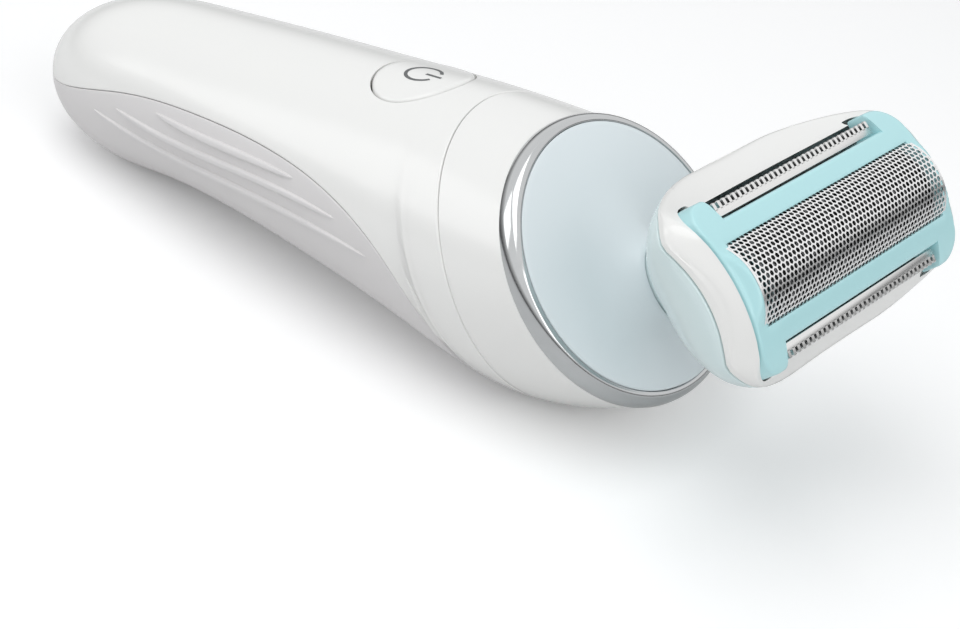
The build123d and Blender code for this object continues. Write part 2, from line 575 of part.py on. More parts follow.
def above_seam():
    """Everything above the seam between the white rim and the pale base."""
    half = [(-y, z) for y, z in reversed(RIM_SEAM[1:])] + list(RIM_SEAM)
    outline = Spline(*half) + Polyline(half[-1], (half[-1][0], BIG / 2), (half[0][0], BIG / 2), half[0])
    return along_head(make_face(outline))


def arch_form(crest, half_length, half_width, floor_z):
    """Block with an arched top that runs along the head."""
    arch = rod_x(ARCH_RADIUS, -half_length, half_length, z=crest - ARCH_RADIUS)
    return arch & block(-half_length, half_length, -half_width, half_width, floor_z, crest + 1)


def scoop(side):
    """Long shallow scoop that clears the trimmer on one side."""
    y, z = SCOOP_START
    drum = Pos(0, 0, SCOOP_RADIUS) * rod_y(SCOOP_RADIUS, -SCOOP_LENGTH / 2, SCOOP_LENGTH)
    tool = Pos(0, y, z) * Rot(-SCOOP_SLOPE, 0, 0) * drum
    return tool if side > 0 else mirror(tool, about=Plane.XZ)


def pocket():
    """Room for the floating frame, its ears and the combs."""
    reach_x = FRAME_HALF_LENGTH + FLOAT_GAP
    reach_y = FRAME_HALF_WIDTH + FLOAT_GAP
    floor_z = FRAME_FLOOR_Z - FLOAT_TRAVEL - FLOAT_GAP
    ears = block(-reach_x, reach_x, -reach_y, reach_y, floor_z, 5)
    tip_y = COMB_TIP_Y + FLOAT_GAP
    notch_x = COMB_HALF_LENGTH + NOTCH_MARGIN
    ears = ears - block(-notch_x, notch_x, tip_y, BIG, -BIG, 5)
    ears = ears - block(-notch_x, notch_x, -BIG, -tip_y, -BIG, 5)
    return fillet(ears.edges().filter_by(Axis.Z).group_by(SortBy.DISTANCE)[-1], EAR_CORNER + FLOAT_GAP)


def well():
    """Opening through the rim for the cutter, with shelves for the springs at its ends."""
    opening = block(-SHELF_INNER_X, SHELF_INNER_X, -SCOOP_START[0], SCOOP_START[0], -BIG, 5)
    ends = block(-WELL_END_X, WELL_END_X, -WELL_END_Y, WELL_END_Y, SHELF_TOP_Z, 5)
    return opening + fillet(ends.edges().filter_by(Axis.Z), 2.0)


def make_head_housing(nodes):
    """White rim and pale base of the head, with the neck and its spigot."""
    outer = head_form(0)
    inner = head_form(HEAD_WALL)
    white = above_seam()
    neck_start = HEAD_STATIONS[-1][0]
    screws, shanks, bosses = [], [], []
    screw_x = WELL_END_X - SCREW_HEAD_RADIUS - HEAD_SCREW_GAP
    for x in (-screw_x, screw_x):
        shank = rod(SCREW_RADIUS, RIM_TONGUE_Z - 4.0, SHELF_TOP_Z, x)
        shanks.append(shank)
        screws.append(shank + rod(SCREW_HEAD_RADIUS, SHELF_TOP_Z, SHELF_TOP_Z + 1.1, x))
        bosses.append(rod(BOSS_RADIUS, RIM_TONGUE_Z - 6.0, RIM_TONGUE_Z, x))
    tongue = head_form(HEAD_WALL + SHUT_LINE) & block(-BIG, BIG, -BIG, BIG, RIM_TONGUE_Z, BIG)
    rim = (outer & white) + tongue
    rim = rim & arch_form(ARCH_CREST, BIG / 4, BIG / 4, -BIG / 4)
    nodes["head_rim"] = HEAD * (rim - [pocket(), well(), scoop(1), scoop(-1)] - shanks)
    hollow = inner & block(-BIG, BIG, -BIG, BIG, neck_start + 2.4, BIG)
    hollow = hollow - bosses
    neck = rod(NECK_RADIUS, -BIG / 4, neck_start + 0.5, y=NECK_Y)
    face_cut = FACE * block(-BIG, BIG, -BIG, BIG, -BIG, PLATE_CROWN + FACE_GAP)
    neck = HEAD_INVERSE * ((HEAD * neck) - face_cut)
    neck = neck + rod(SPIGOT_RADIUS, SPIGOT_END_Z, neck_start, y=NECK_Y)
    bore = rod(SPIGOT_BORE, -BIG / 4, neck_start + 6, y=NECK_Y)
    base = outer - [Pos(0, 0, -SHUT_LINE) * white, hollow, pocket(), scoop(1), scoop(-1)]
    base = (base + neck) - [bore, *shanks]
    nodes["head_base"] = HEAD * base
    nodes["head_screws"] = HEAD * Compound(children=screws)


# ---------------------------------------------------------------- floating foil cassette
FOIL_AXIS_Z = -sqrt(FOIL_RADIUS ** 2 - FOIL_HALF_CHORD ** 2)


def make_foil(nodes):
    """Thin arched foil."""
    shell = rod_x(FOIL_RADIUS, -FOIL_HALF_LENGTH, FOIL_HALF_LENGTH, z=FOIL_AXIS_Z)
    shell = shell - rod_x(FOIL_RADIUS - FOIL_THICKNESS, -BIG, BIG, z=FOIL_AXIS_Z)
    skirt_z = FOIL_AXIS_Z + FOIL_RADIUS * cos(radians(FOIL_WRAP))
    nodes["shaving_foil"] = HEAD * (shell & block(-BIG, BIG, -BIG, BIG, skirt_z, BIG))


def make_frame(nodes):
    """Frame with two rails, two arched end walls and four rounded ears."""
    frame = arch_form(ARCH_CREST, FRAME_HALF_LENGTH, FRAME_HALF_WIDTH, FRAME_FLOOR_Z)
    corners = frame.edges().filter_by(Axis.Z)
    frame = fillet(corners, EAR_CORNER)
    crest = rod_x(FOIL_RADIUS + END_CREST, -FRAME_HALF_LENGTH, FRAME_HALF_LENGTH, z=FOIL_AXIS_Z)
    crest_top = FOIL_AXIS_Z + FOIL_RADIUS + END_CREST
    slope = Polyline((FOIL_HALF_LENGTH + 0.8, crest_top + 0.1), (FRAME_HALF_LENGTH, ARCH_CREST - 0.2),
                     (FRAME_HALF_LENGTH, FRAME_FLOOR_Z), (-FRAME_HALF_LENGTH, FRAME_FLOOR_Z),
                     (-FRAME_HALF_LENGTH, ARCH_CREST - 0.2), (-FOIL_HALF_LENGTH - 0.8, crest_top + 0.1),
                     close=True)
    roof = extrude(Plane.XZ * make_face(slope), FOIL_RADIUS, both=True)
    frame = frame + (crest & roof & block(-BIG, BIG, -BIG, BIG, -1.0, BIG))
    frame = frame - rod_x(FOIL_RADIUS, -FOIL_HALF_LENGTH, FOIL_HALF_LENGTH, z=FOIL_AXIS_Z)
    opening = block(-FOIL_HALF_LENGTH, FOIL_HALF_LENGTH, -FOIL_RADIUS, FOIL_RADIUS, -BIG, FOIL_AXIS_Z)
    frame = frame - opening
    for side in (-1, 1):
        notch = block(-NOTCH_HALF_LENGTH, NOTCH_HALF_LENGTH, RAIL_HALF_WIDTH, BIG, -BIG, BIG)
        frame = frame - (notch if side > 0 else mirror(notch, about=Plane.XZ))
    nodes["foil_frame"] = HEAD * frame


def comb(inner_y, root_y, tip_y, half_length, top_z, count):
    """Toothed strip on the +Y side, sloping down to its tips."""
    slope = degrees(atan2(COMB_DROP, COMB_TIP_Y - RAIL_HALF_WIDTH))
    heel = COMB_THICKNESS * COMB_DROP / (COMB_TIP_Y - RAIL_HALF_WIDTH)
    strip = block(-half_length, half_length, inner_y - RAIL_HALF_WIDTH + heel, root_y - RAIL_HALF_WIDTH,
                  -COMB_THICKNESS, 0)
    pitch = (2 * half_length - TOOTH_WIDTH) / (count - 1)
    for step in range(count):
        x = -half_length + step * pitch
        strip = strip + block(x, x + TOOTH_WIDTH, root_y - RAIL_HALF_WIDTH - 0.1, tip_y - RAIL_HALF_WIDTH,
                              -COMB_THICKNESS, 0)
    return Pos(0, RAIL_HALF_WIDTH, top_z) * Rot(-slope, 0, 0) * strip


def make_trimmers(nodes):
    """Guard combs on the frame, and the moving blades under them."""
    guard = comb(RAIL_HALF_WIDTH, COMB_ROOT_Y, COMB_TIP_Y, COMB_HALF_LENGTH, COMB_TOP_Z, COMB_TEETH)
    guard = guard + block(-COMB_HALF_LENGTH, COMB_HALF_LENGTH, RAIL_HALF_WIDTH, RAIL_HALF_WIDTH + 0.3,
                          COMB_TOP_Z - 1.6, COMB_TOP_Z - 0.1)
    top_z = COMB_TOP_Z - COMB_THICKNESS - BLADE_GAP
    blade = comb(BLADE_INNER_Y, COMB_ROOT_Y, BLADE_TIP_Y, BLADE_HALF_LENGTH, top_z, COMB_TEETH - 2)
    web_top = top_z - COMB_THICKNESS
    web = block(-WING_HALF_LENGTH, WING_HALF_LENGTH, BLADE_INNER_Y, COMB_ROOT_Y, WING_FLOOR_Z, web_top)
    blade = blade + web
    for name, side in (("upper", 1), ("lower", -1)):
        place = HEAD if side > 0 else HEAD * Rot(0, 0, 180)
        nodes[name + "_trimmer_guard"] = place * guard
        nodes[name + "_trimmer_blade"] = place * blade


def make_cutter(nodes):
    """Cutter carrier with its drive slot, and the row of arched lamellae."""
    lamella_radius = FOIL_RADIUS - FOIL_THICKNESS - CUTTER_GAP
    spine_radius = lamella_radius - LAMELLA_DEPTH
    spine = rod_x(spine_radius, -CUTTER_HALF_LENGTH, CUTTER_HALF_LENGTH, z=FOIL_AXIS_Z)
    spine = spine & block(-BIG, BIG, -BIG, BIG, FOIL_AXIS_Z, BIG)
    body = block(-CARRIER_HALF_LENGTH, CARRIER_HALF_LENGTH, -CARRIER_HALF_WIDTH, CARRIER_HALF_WIDTH,
                 CARRIER_FLOOR_Z, FOIL_AXIS_Z)
    wings = block(-WING_HALF_LENGTH, WING_HALF_LENGTH, -BLADE_INNER_Y, BLADE_INNER_Y,
                  WING_FLOOR_Z, WING_TOP_Z)
    slot_half = DRIVE_PIN_RADIUS + DRIVE_SLOT_GAP
    slot = block(-slot_half, slot_half, NECK_Y - 1.9, NECK_Y + 1.9, -BIG, DRIVE_SLOT_ROOF_Z)
    nodes["cutter_carrier"] = HEAD * (spine + body + wings - slot)
    pitch = (2 * CUTTER_HALF_LENGTH - LAMELLA_THICKNESS) / (LAMELLA_COUNT - 1)
    lamellae = []
    for step in range(LAMELLA_COUNT):
        x = -CUTTER_HALF_LENGTH + step * pitch
        arch = rod_x(lamella_radius, x, x + LAMELLA_THICKNESS, z=FOIL_AXIS_Z)
        arch = arch - rod_x(spine_radius, x - 1, x + 1 + LAMELLA_THICKNESS, z=FOIL_AXIS_Z)
        lamellae.append(arch & block(-BIG, BIG, -BIG, BIG, FOIL_AXIS_Z + 0.6, BIG))
    nodes["cutter_lamellae"] = HEAD * Compound(children=lamellae)


def make_foil_springs(nodes):
    """Four small springs that push the floating frame out."""
    springs = []
    height = FRAME_FLOOR_Z - SHELF_TOP_Z - 2 * SPRING_WIRE
    for x in (-SPRING_PLACE[0], SPRING_PLACE[0]):
        for y in (-SPRING_PLACE[1], SPRING_PLACE[1]):
            helix = Helix(pitch=height / SPRING_TURNS, height=height, radius=SPRING_RADIUS)
            start = Plane(origin=helix @ 0, z_dir=helix % 0)
            coil = sweep(start * RegularPolygon(SPRING_WIRE, 4), path=helix, is_frenet=True)
            springs.append(Pos(x, y, SHELF_TOP_Z + SPRING_WIRE) * coil)
    nodes["foil_springs"] = HEAD * Compound(children=springs)


HEAD_INVERSE = HEAD.location.inverse()


def make_all():
    """Every node of the shaver in the handle frame."""
    nodes = {}
    make_shells(nodes)
    make_power_button(nodes)
    make_end_face(nodes)
    make_battery(nodes)
    make_chassis(nodes)
    make_electronics(nodes)
    make_charging_socket(nodes)
    make_motor(nodes)
    make_drive_lever(nodes)
    make_head_housing(nodes)
    make_foil(nodes)
    make_frame(nodes)
    make_trimmers(nodes)
    make_cutter(nodes)
    make_foil_springs(nodes)
    return nodes


def rest_placement(nodes):
    """Turn the shaver onto its belly and tail, centred, with the table at Z = 0."""
    turn = Rot(0, -REST_TILT, 0)
    boxes = [(turn * node).bounding_box() for node in nodes.values()]
    x_middle = (min(box.min.X for box in boxes) + max(box.max.X for box in boxes)) / 2
    z_low = min(box.min.Z for box in boxes)
    return Pos(-x_middle, 0, -z_low) * turn


def main():
    """Build the nodes and write one STEP file for each."""
    os.makedirs("parts", exist_ok=True)
    nodes = make_all()
    place = rest_placement(nodes)
    for name, node in nodes.items():
        export_step(place * node, f"parts/{name}.step")
    head = place * HEAD.location
    for label, spot in (("head frame", (0, 0, 0)), ("neck axis point", (0, NECK_Y, SPIGOT_END_Z)),
                        ("lever pivot", (0, NECK_Y, LEVER_AXIS_Z))):
        print(label, (head * Location(spot)).position)
    print("rest tilt", REST_TILT, "lever swing", LEVER_SWING, "eccentricity", ECCENTRICITY)


if __name__ == "__main__":
    main()
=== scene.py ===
# %% [markdown]
# # A cordless lady shaver, modelled piece by piece
#
# The shaver is a smooth S-shaped handle with a soft grip, a bright ring and a
# pale round end face. A wide head sits on a slim neck, and carries an arched
# foil between two combs. This lesson starts from the engineering solids, which
# have the right sizes but flat facets, and makes each piece that shows again
# with smooth skins, rounded edges and a finish of its own.

# %% Load the solids
import math

import bmesh
import bpy
import numpy as np
from mathutils import Matrix, Vector
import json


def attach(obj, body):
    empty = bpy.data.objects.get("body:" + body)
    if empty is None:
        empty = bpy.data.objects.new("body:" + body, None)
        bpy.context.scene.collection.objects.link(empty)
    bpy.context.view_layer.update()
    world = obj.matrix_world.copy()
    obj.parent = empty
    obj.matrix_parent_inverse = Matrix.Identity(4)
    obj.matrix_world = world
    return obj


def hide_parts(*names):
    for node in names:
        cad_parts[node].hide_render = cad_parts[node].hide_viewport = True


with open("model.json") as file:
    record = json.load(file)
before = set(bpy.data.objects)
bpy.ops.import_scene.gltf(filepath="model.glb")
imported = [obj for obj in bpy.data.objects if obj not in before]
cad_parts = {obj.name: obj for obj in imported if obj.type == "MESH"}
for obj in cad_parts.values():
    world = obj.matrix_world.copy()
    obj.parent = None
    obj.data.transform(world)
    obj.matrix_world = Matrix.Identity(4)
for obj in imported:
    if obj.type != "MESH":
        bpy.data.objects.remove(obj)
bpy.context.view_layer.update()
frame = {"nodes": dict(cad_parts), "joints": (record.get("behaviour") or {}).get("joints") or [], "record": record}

# %% [markdown]
# ## Three working frames
#
# It is easier to think along the object than along the room. The handle frame
# has X from tail to head and Z up at the button. The face frame sits on the
# round end face, and the head frame in the middle of the foil. Their directions
# come from the joints, and their place from the charging inlet, so they always
# agree with the solids. Inside them we can work in millimetres.

# %% Frames from the joints
MM = 0.001
joints = {joint["name"]: joint for joint in frame["joints"]}
mounts = {mount["name"]: mount for mount in frame["record"]["mounts"]}
INLET_MIDDLE_X, INLET_Z = 6.06, -14.5

forward = Vector(joints["motor_spin"]["axis"])
upward = -Vector(joints["button_press"]["axis"])
handle_origin = (Vector(mounts["charging_inlet"]["pos_m"])
                 - (forward * INLET_MIDDLE_X + upward * INLET_Z) * MM)


def frame_matrix(origin, x_axis, y_axis, z_axis, scale=1.0):
    """Matrix of a frame from its origin and three directions."""
    columns = [Vector(axis) * scale for axis in (x_axis, y_axis, z_axis)]
    rows = [[column[row] for column in columns] + [origin[row]] for row in range(3)]
    return Matrix(rows + [[0, 0, 0, 1]])


def tilted(x, z, tilt):
    """Frame whose Z looks forward and up by tilt degrees, with its X across the handle."""
    c, s = math.cos(math.radians(tilt)), math.sin(math.radians(tilt))
    return frame_matrix((x, 0, z), (0, 1, 0), (-s, 0, c), (c, 0, s))


HANDLE = frame_matrix(handle_origin, forward, (0, 1, 0), upward, MM)
FACE_IN_HANDLE = tilted(119.1, -17.9, 33.7)
HEAD_IN_HANDLE = tilted(152.0, -4.6, 36.4)
FACE = HANDLE @ FACE_IN_HANDLE
HEAD = HANDLE @ HEAD_IN_HANDLE
print("handle origin:", handle_origin, "foil middle:", HEAD.translation)

# %% [markdown]
# ## Materials first
#
# Every finish starts from what the real one is. Most of the shaver is moulded
# ABS, which has an IOR near 1.54. Polished tools give the white parts their
# gloss, and spark-eroded tools give the grip its dull grain. Colours are written
# as sRGB hex values, because that is how a colour is picked from a swatch, and
# one function turns them to the linear values that the renderer needs.

# %% Colour and node helpers
def colour(hex_value):
    """Linear colour of an sRGB hex value."""
    parts = [int(hex_value[i:i + 2], 16) / 255 for i in (1, 3, 5)]
    return [p / 12.92 if p <= 0.04045 else ((p + 0.055) / 1.055) ** 2.4 for p in parts] + [1.0]


def add_node(tree, kind, settings=None, **inputs):
    """Adds a node. Values set its sockets, and sockets of other nodes are linked to them."""
    node = tree.nodes.new(kind)
    for name, value in (settings or {}).items():
        setattr(node, name, value)
    for name, value in inputs.items():
        socket = node.inputs[int(name[1:])] if name[1:].isdigit() else node.inputs[name.replace("_", " ")]
        if isinstance(value, bpy.types.NodeSocket):
            tree.links.new(value, socket)
        else:
            socket.default_value = value
    return node


def blank_tree(owner):
    """Empty node tree of a material or a world."""
    owner.use_nodes = True
    owner.node_tree.nodes.clear()
    return owner.node_tree


def toned_shader(tree, pattern, tint, base, shade, depth_mm, roughness, spread, **settings):
    """Shader whose tone follows tint, and whose gloss and relief follow a fine pattern."""
    bump = add_node(tree, "ShaderNodeBump", Height=pattern, Distance=depth_mm * MM, Strength=1.0)
    darker = [c * shade for c in base[:3]] + [1.0]
    tone = add_node(tree, "ShaderNodeMix", {"data_type": "RGBA"}, _0=tint, _6=darker, _7=base)
    gloss = add_node(tree, "ShaderNodeMapRange", Value=pattern, To_Min=roughness * (1 - spread),
                     To_Max=roughness * (1 + spread))
    shader = add_node(tree, "ShaderNodeBsdfPrincipled", Base_Color=tone.outputs[2],
                      Roughness=gloss.outputs["Result"], Normal=bump.outputs["Normal"], **settings)
    add_node(tree, "ShaderNodeOutputMaterial", Surface=shader.outputs["BSDF"])


PLASTIC_IOR = 1.54
CLOUDS_PER_METRE = 45.0  # Soft changes of tone, about 20 mm wide.


def plastic(name, hex_value, roughness, grain_mm, grain_depth_mm, shade=0.03):
    """Moulded plastic with a fine grain, and a faint change of tone over the piece."""
    material = bpy.data.materials.new(name)
    tree = blank_tree(material)
    place = add_node(tree, "ShaderNodeTexCoord").outputs["Object"]
    cloudy = add_node(tree, "ShaderNodeTexNoise", Vector=place, Scale=CLOUDS_PER_METRE, Detail=2.0)
    grain = add_node(tree, "ShaderNodeTexNoise", Vector=place, Scale=1.0 / (grain_mm * MM), Detail=3.0)
    toned_shader(tree, grain.outputs["Fac"], cloudy.outputs["Fac"], colour(hex_value), 1 - shade,
                 grain_depth_mm, roughness, 0.1, IOR=PLASTIC_IOR)
    return material


# %% Moulded and rubber finishes
finishes = {
    # High-gloss white ABS from a polished tool: clear soft highlights.
    "shell_white": plastic("glossy_white_abs", "#F6F6F4", 0.20, 0.35, 0.0004, shade=0.01),
    # Soft-touch TPE: a fine spark-eroded grain scatters all gloss.
    "grip_grey": plastic("soft_touch_tpe", "#E4E2E2", 0.62, 0.16, 0.006),
    # Pale satin ABS of the end face: a broad, weak highlight.
    "plate_pale": plastic("pale_satin_abs", "#E8F0F3", 0.32, 0.3, 0.0006, shade=0.01),
    # Pale blue-green ABS of the head's base, almost as glossy as the shell.
    "head_pale": plastic("pale_aqua_abs", "#E0F1F2", 0.24, 0.3, 0.0004, shade=0.01),
    # Aqua ABS of the floating frame, the strongest colour of the shaver.
    "frame_aqua": plastic("aqua_abs", "#BDEBEF", 0.26, 0.3, 0.0004, shade=0.02),
    # Moulded acetal slides well on steel, and has a waxy look.
    "carrier_plastic": plastic("ivory_acetal", "#DCDCD6", 0.45, 0.3, 0.001),
    # Structural ABS inside is left as it leaves an eroded tool: plain and matt.
    "inner_plastic": plastic("grey_structural_abs", "#B8BABD", 0.5, 0.25, 0.002),
    # Moulded polyamide is dense black with a faint sheen.
    "switch_black": plastic("black_polyamide", "#151517", 0.45, 0.2, 0.002),
    # Moulded silicone is a soft black with hardly any highlight.
    "seal_rubber": plastic("black_silicone_rubber", "#202022", 0.6, 0.2, 0.002),
    # Solder mask is a thin green lacquer over glass fibre, blotchy and glossy.
    "board_green": plastic("green_solder_mask", "#1C5E33", 0.35, 0.4, 0.002, shade=0.15),
    # The cell wears a shrunk PVC sleeve, a little uneven.
    "cell_wrap": plastic("blue_shrink_sleeve", "#3A6E9E", 0.35, 0.5, 0.001, shade=0.08),
}
print("moulded finishes:", ", ".join(finishes))

# %% [markdown]
# ## Metals
#
# Chromed ABS mirrors the room: metallic 1 and a very low roughness. Rolled and
# ground steel has fine lines along one direction, so its noise is stretched
# along the lines, and the stretch is worked out from their real spacing.

# %% Metal finishes
LINE_SQUEEZE = 0.04  # The lines are 25 times as long as they are wide.


def metal(name, hex_value, roughness, line_mm, depth_mm, along=(0, 1, 0)):
    """Metal with fine lines along one direction of the object."""
    material = bpy.data.materials.new(name)
    tree = blank_tree(material)
    place = add_node(tree, "ShaderNodeTexCoord")
    stretch = add_node(tree, "ShaderNodeMapping", Vector=place.outputs["Object"],
                       Scale=[LINE_SQUEEZE if part else 1.0 for part in along])
    lines = add_node(tree, "ShaderNodeTexNoise", Vector=stretch.outputs["Vector"],
                     Scale=1.0 / (line_mm * MM), Detail=4.0).outputs["Fac"]
    toned_shader(tree, lines, lines, colour(hex_value), 0.86, depth_mm, roughness, 0.2, Metallic=1.0)
    return material


finishes.update({
    # Bright chromium plating on polished ABS. Its waviness is drawn 3 mm wide, to show at all.
    "bezel_chrome": metal("chrome_plated_abs", "#C9CBCC", 0.12, 3.0, 0.00001),
    # Electroformed nickel, bright and clean.
    "foil_steel": metal("electroformed_nickel", "#FAFAFA", 0.24, 0.3, 0.0003),
    # Ground and tumbled stainless steel: bright, with a soft edge to its highlights.
    "comb_steel": metal("satin_stainless_comb", "#EDEDEC", 0.26, 0.2, 0.0004),
    # Ground stainless steel of the moving blades, darker and matter than the combs. Its dark grey is painted
    # shade, far darker than the steel itself, so the gaps between the comb's teeth read dark.
    "blade_steel": metal("ground_blade_painted_shade", "#6E7072", 0.34, 0.2, 0.001),
    # Zinc-plated drawn steel of the motor can, a dull grey that runs along it.
    "motor_steel": metal("zinc_plated_can", "#AEB0B0", 0.35, 0.5, 0.001, along=(1, 0, 0)),
    # Zinc-plated rolled steel of the screws, a little bluer.
    "screw_steel": metal("zinc_plated_screw", "#B4B6B8", 0.30, 0.2, 0.001),
    # Drawn spring wire is smooth, with fine lines along it.
    "spring_steel": metal("drawn_spring_wire", "#AAACB0", 0.28, 0.1, 0.0005),
    # Nickel-plated rolled strip has a faint yellow cast.
    "contact_steel": metal("nickel_plated_strip", "#CEC9B6", 0.25, 0.3, 0.0005),
})
for entry in frame["record"]["subparts"]:
    node = frame["nodes"][entry["node"]]
    node.data.materials.clear()
    node.data.materials.append(finishes[entry["material_slot"]])
print("all finishes:", len(finishes))

# %% [markdown]
# ## One curve through a few sections
#
# The moulded forms are lofts: a few sections are drawn, and a smooth skin runs
# through them. A natural cubic curve through the sections' sizes gives the same
# skin anywhere between them. Its bend at each section comes from one small
# system of equations.

# %% Curves and grids
def curve_through(rows, knots=None):
    """Natural cubic curve through rows of numbers. Returns it with its knots, spaced as the rows are."""
    rows = np.array(rows, float)
    if knots is None:
        knots = np.concatenate([[0], np.cumsum(np.linalg.norm(np.diff(rows, axis=0), axis=1))])
    step = np.diff(knots)
    slopes = np.diff(rows, axis=0) / step[:, None]
    system, right = np.eye(len(knots)), np.zeros_like(rows)
    for k in range(1, len(knots) - 1):
        system[k, k - 1:k + 2] = step[k - 1], 2 * (step[k - 1] + step[k]), step[k]
        right[k] = 6 * (slopes[k] - slopes[k - 1])
    bend = np.linalg.solve(system, right)

    def at(knot):
        k = int(np.clip(np.searchsorted(knots, knot) - 1, 0, len(step) - 1))
        after, before, width = knots[k + 1] - knot, knot - knots[k], step[k]
        return ((bend[k] * after ** 3 + bend[k + 1] * before ** 3) / (6 * width)
                + (rows[k] / width - bend[k] * width / 6) * after
                + (rows[k + 1] / width - bend[k + 1] * width / 6) * before)
    return at, knots


def crossing(value, low, high, steps=34):
    """Where value(x) turns from negative to positive between low and high."""
    for _ in range(steps):
        middle = (low + high) / 2
        if value(middle) < 0:
            low = middle
        else:
            high = middle
    return (low + high) / 2


def wrapped_grid(columns, rows, wrap):
    """A flat grid whose points are moved to wrap(across, along), both from 0 to 1."""
    bm = bmesh.new()
    bmesh.ops.create_grid(bm, x_segments=columns, y_segments=rows, size=0.5)
    for vert in bm.verts:
        vert.co = wrap(vert.co.x + 0.5, vert.co.y + 0.5)
    bmesh.ops.remove_doubles(bm, verts=bm.verts, dist=1e-4)
    bmesh.ops.dissolve_degenerate(bm, edges=bm.edges, dist=1e-5)
    return bm


def lofted(columns, rings):
    """A skin over rings. Each ring turns a share of the way round, 0 to 1, into a point."""
    last = len(rings) - 1
    return wrapped_grid(columns, last, lambda across, along: rings[round(along * last)](across % 1.0))


def circle(turn):
    """Cosine and sine of a share of a full turn."""
    return math.cos(2 * math.pi * turn), math.sin(2 * math.pi * turn)


def take_in(whole, part):
    """Moves what a small bmesh holds into a larger one."""
    mesh = bpy.data.meshes.new("taken_in")
    part.to_mesh(mesh)
    part.free()
    whole.from_mesh(mesh)
    bpy.data.meshes.remove(mesh)


def add_object(name, data):
    """Puts an object with this data in the scene."""
    obj = bpy.data.objects.new(name, data)
    bpy.context.scene.collection.objects.link(obj)
    return obj


def to_mesh(name, bm):
    """Makes a bmesh a mesh, and frees it."""
    mesh = bpy.data.meshes.new(name)
    bm.to_mesh(mesh)
    bm.free()
    return mesh


def outwards(bm, middle=None):
    """Turns all faces out: away from a middle point, or by the closed form's own inside."""
    if middle is None:
        bmesh.ops.recalc_face_normals(bm, faces=bm.faces)
        if bm.calc_volume(signed=True) < 0:
            bmesh.ops.reverse_faces(bm, faces=bm.faces)
        return bm
    bm.normal_update()
    middle = Vector(middle)
    if sum(face.normal.dot(face.calc_center_median() - middle) * face.calc_area()
           for face in bm.faces) < 0:
        bmesh.ops.reverse_faces(bm, faces=bm.faces)
    return bm


# %% [markdown]
# Each finished form becomes an object with its place in its mesh, its finish and
# the body that it moves with. The shaver rests on its belly and tail, so what
# lies under a millimetre from the floor is squashed a little, and a wall that
# comes out below the floor is cut flat.

# %% Pieces
REST_BAND, REST_SQUASH = 0.001, 0.73
SHARP_ANGLE = 35.0


def smooth(mesh, sharp):
    """Smooth shading, with edges sharper than an angle in degrees left crisp."""
    mesh.shade_smooth()
    mesh.set_sharp_from_angle(angle=math.radians(sharp))


def piece(name, bm, place, body, slot, replaces=(), sharp=SHARP_ANGLE):
    """Makes a bmesh an object of the shaver: placed in metres, smooth, with its finish and its body."""
    bmesh.ops.transform(bm, matrix=place, verts=bm.verts)
    for vert in bm.verts:
        if vert.co.z < REST_BAND:
            vert.co.z = REST_BAND - (REST_BAND - vert.co.z) * REST_SQUASH
    mesh = to_mesh(name, bm)
    smooth(mesh, sharp)
    obj = add_object(name, mesh)
    mesh.materials.append(finishes[slot])
    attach(obj, body)
    if replaces:
        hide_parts(*replaces)
    print(name, len(mesh.polygons), "faces")
    return obj


def apply_modifiers(obj, sharp=SHARP_ANGLE):
    """Keeps what the modifiers make as the object's own mesh."""
    shown = obj.evaluated_get(bpy.context.evaluated_depsgraph_get())
    mesh = bpy.data.meshes.new_from_object(shown)
    for vert in mesh.vertices:
        vert.co.z = max(vert.co.z, 0.0)
    obj.modifiers.clear()
    obj.data = mesh
    smooth(mesh, sharp)


ROUNDED_FROM = math.radians(55)  # Only edges that turn more than this are rounded.


def add_wall(obj, thickness_mm, round_mm):
    """Gives a skin its wall, and rounds the edges that the wall makes."""
    wall = obj.modifiers.new("wall", "SOLIDIFY")
    wall.thickness = thickness_mm * MM
    wall.offset = -1.0
    wall.use_even_offset = True
    if round_mm:
        soft = obj.modifiers.new("soft_edge", "BEVEL")
        soft.width = round_mm * MM
        soft.segments = 3
        soft.limit_method = "ANGLE"
        soft.angle_limit = ROUNDED_FROM
        soft.use_clamp_overlap = False


# %% [markdown]
# ## The handle's form
#
# Each section of the handle is an ellipse through a top and a bottom point of
# its side view. The sections lean more and more towards the head, and the last
# one is the back of the bright ring.

# %% Handle sections
TAIL_CAP, TAIL_POWER, TAIL_HALF_HEIGHT, TAIL_HALF_WIDTH, TAIL_Z = 26.2, 2.2, 14.2, 15.9, -14.5
BEZEL_BACK, BEZEL_DEPTH = (22.4, 21.6), 2.7

handle_rows = []
for station in (0.05, 0.1, 0.2, 0.35, 0.55, 0.8):
    share = math.sqrt(1 - (1 - station) ** TAIL_POWER)
    x, rise = station * TAIL_CAP, TAIL_HALF_HEIGHT * share
    handle_rows.append((x, TAIL_Z + rise, x, TAIL_Z - rise, TAIL_HALF_WIDTH * share))
handle_rows += [
    (32.0, -0.1, 32.0, -28.6, 16.4),
    (48.0, 0.0, 52.0, -30.0, 17.9),
    (64.0, 0.0, 72.5, -33.5, 19.5),
    (78.0, 0.0, 92.0, -38.0, 21.0),
    (92.5, -0.3, 112.0, -41.9, 22.3),
]
bezel_top = FACE_IN_HANDLE @ Vector((0, BEZEL_BACK[1], -BEZEL_DEPTH))
bezel_low = FACE_IN_HANDLE @ Vector((0, -BEZEL_BACK[1], -BEZEL_DEPTH))
handle_rows.append((bezel_top.x, bezel_top.z, bezel_low.x, bezel_low.z, BEZEL_BACK[0]))
handle_curve, handle_knots = curve_through(handle_rows)
HANDLE_END = handle_knots[-1]


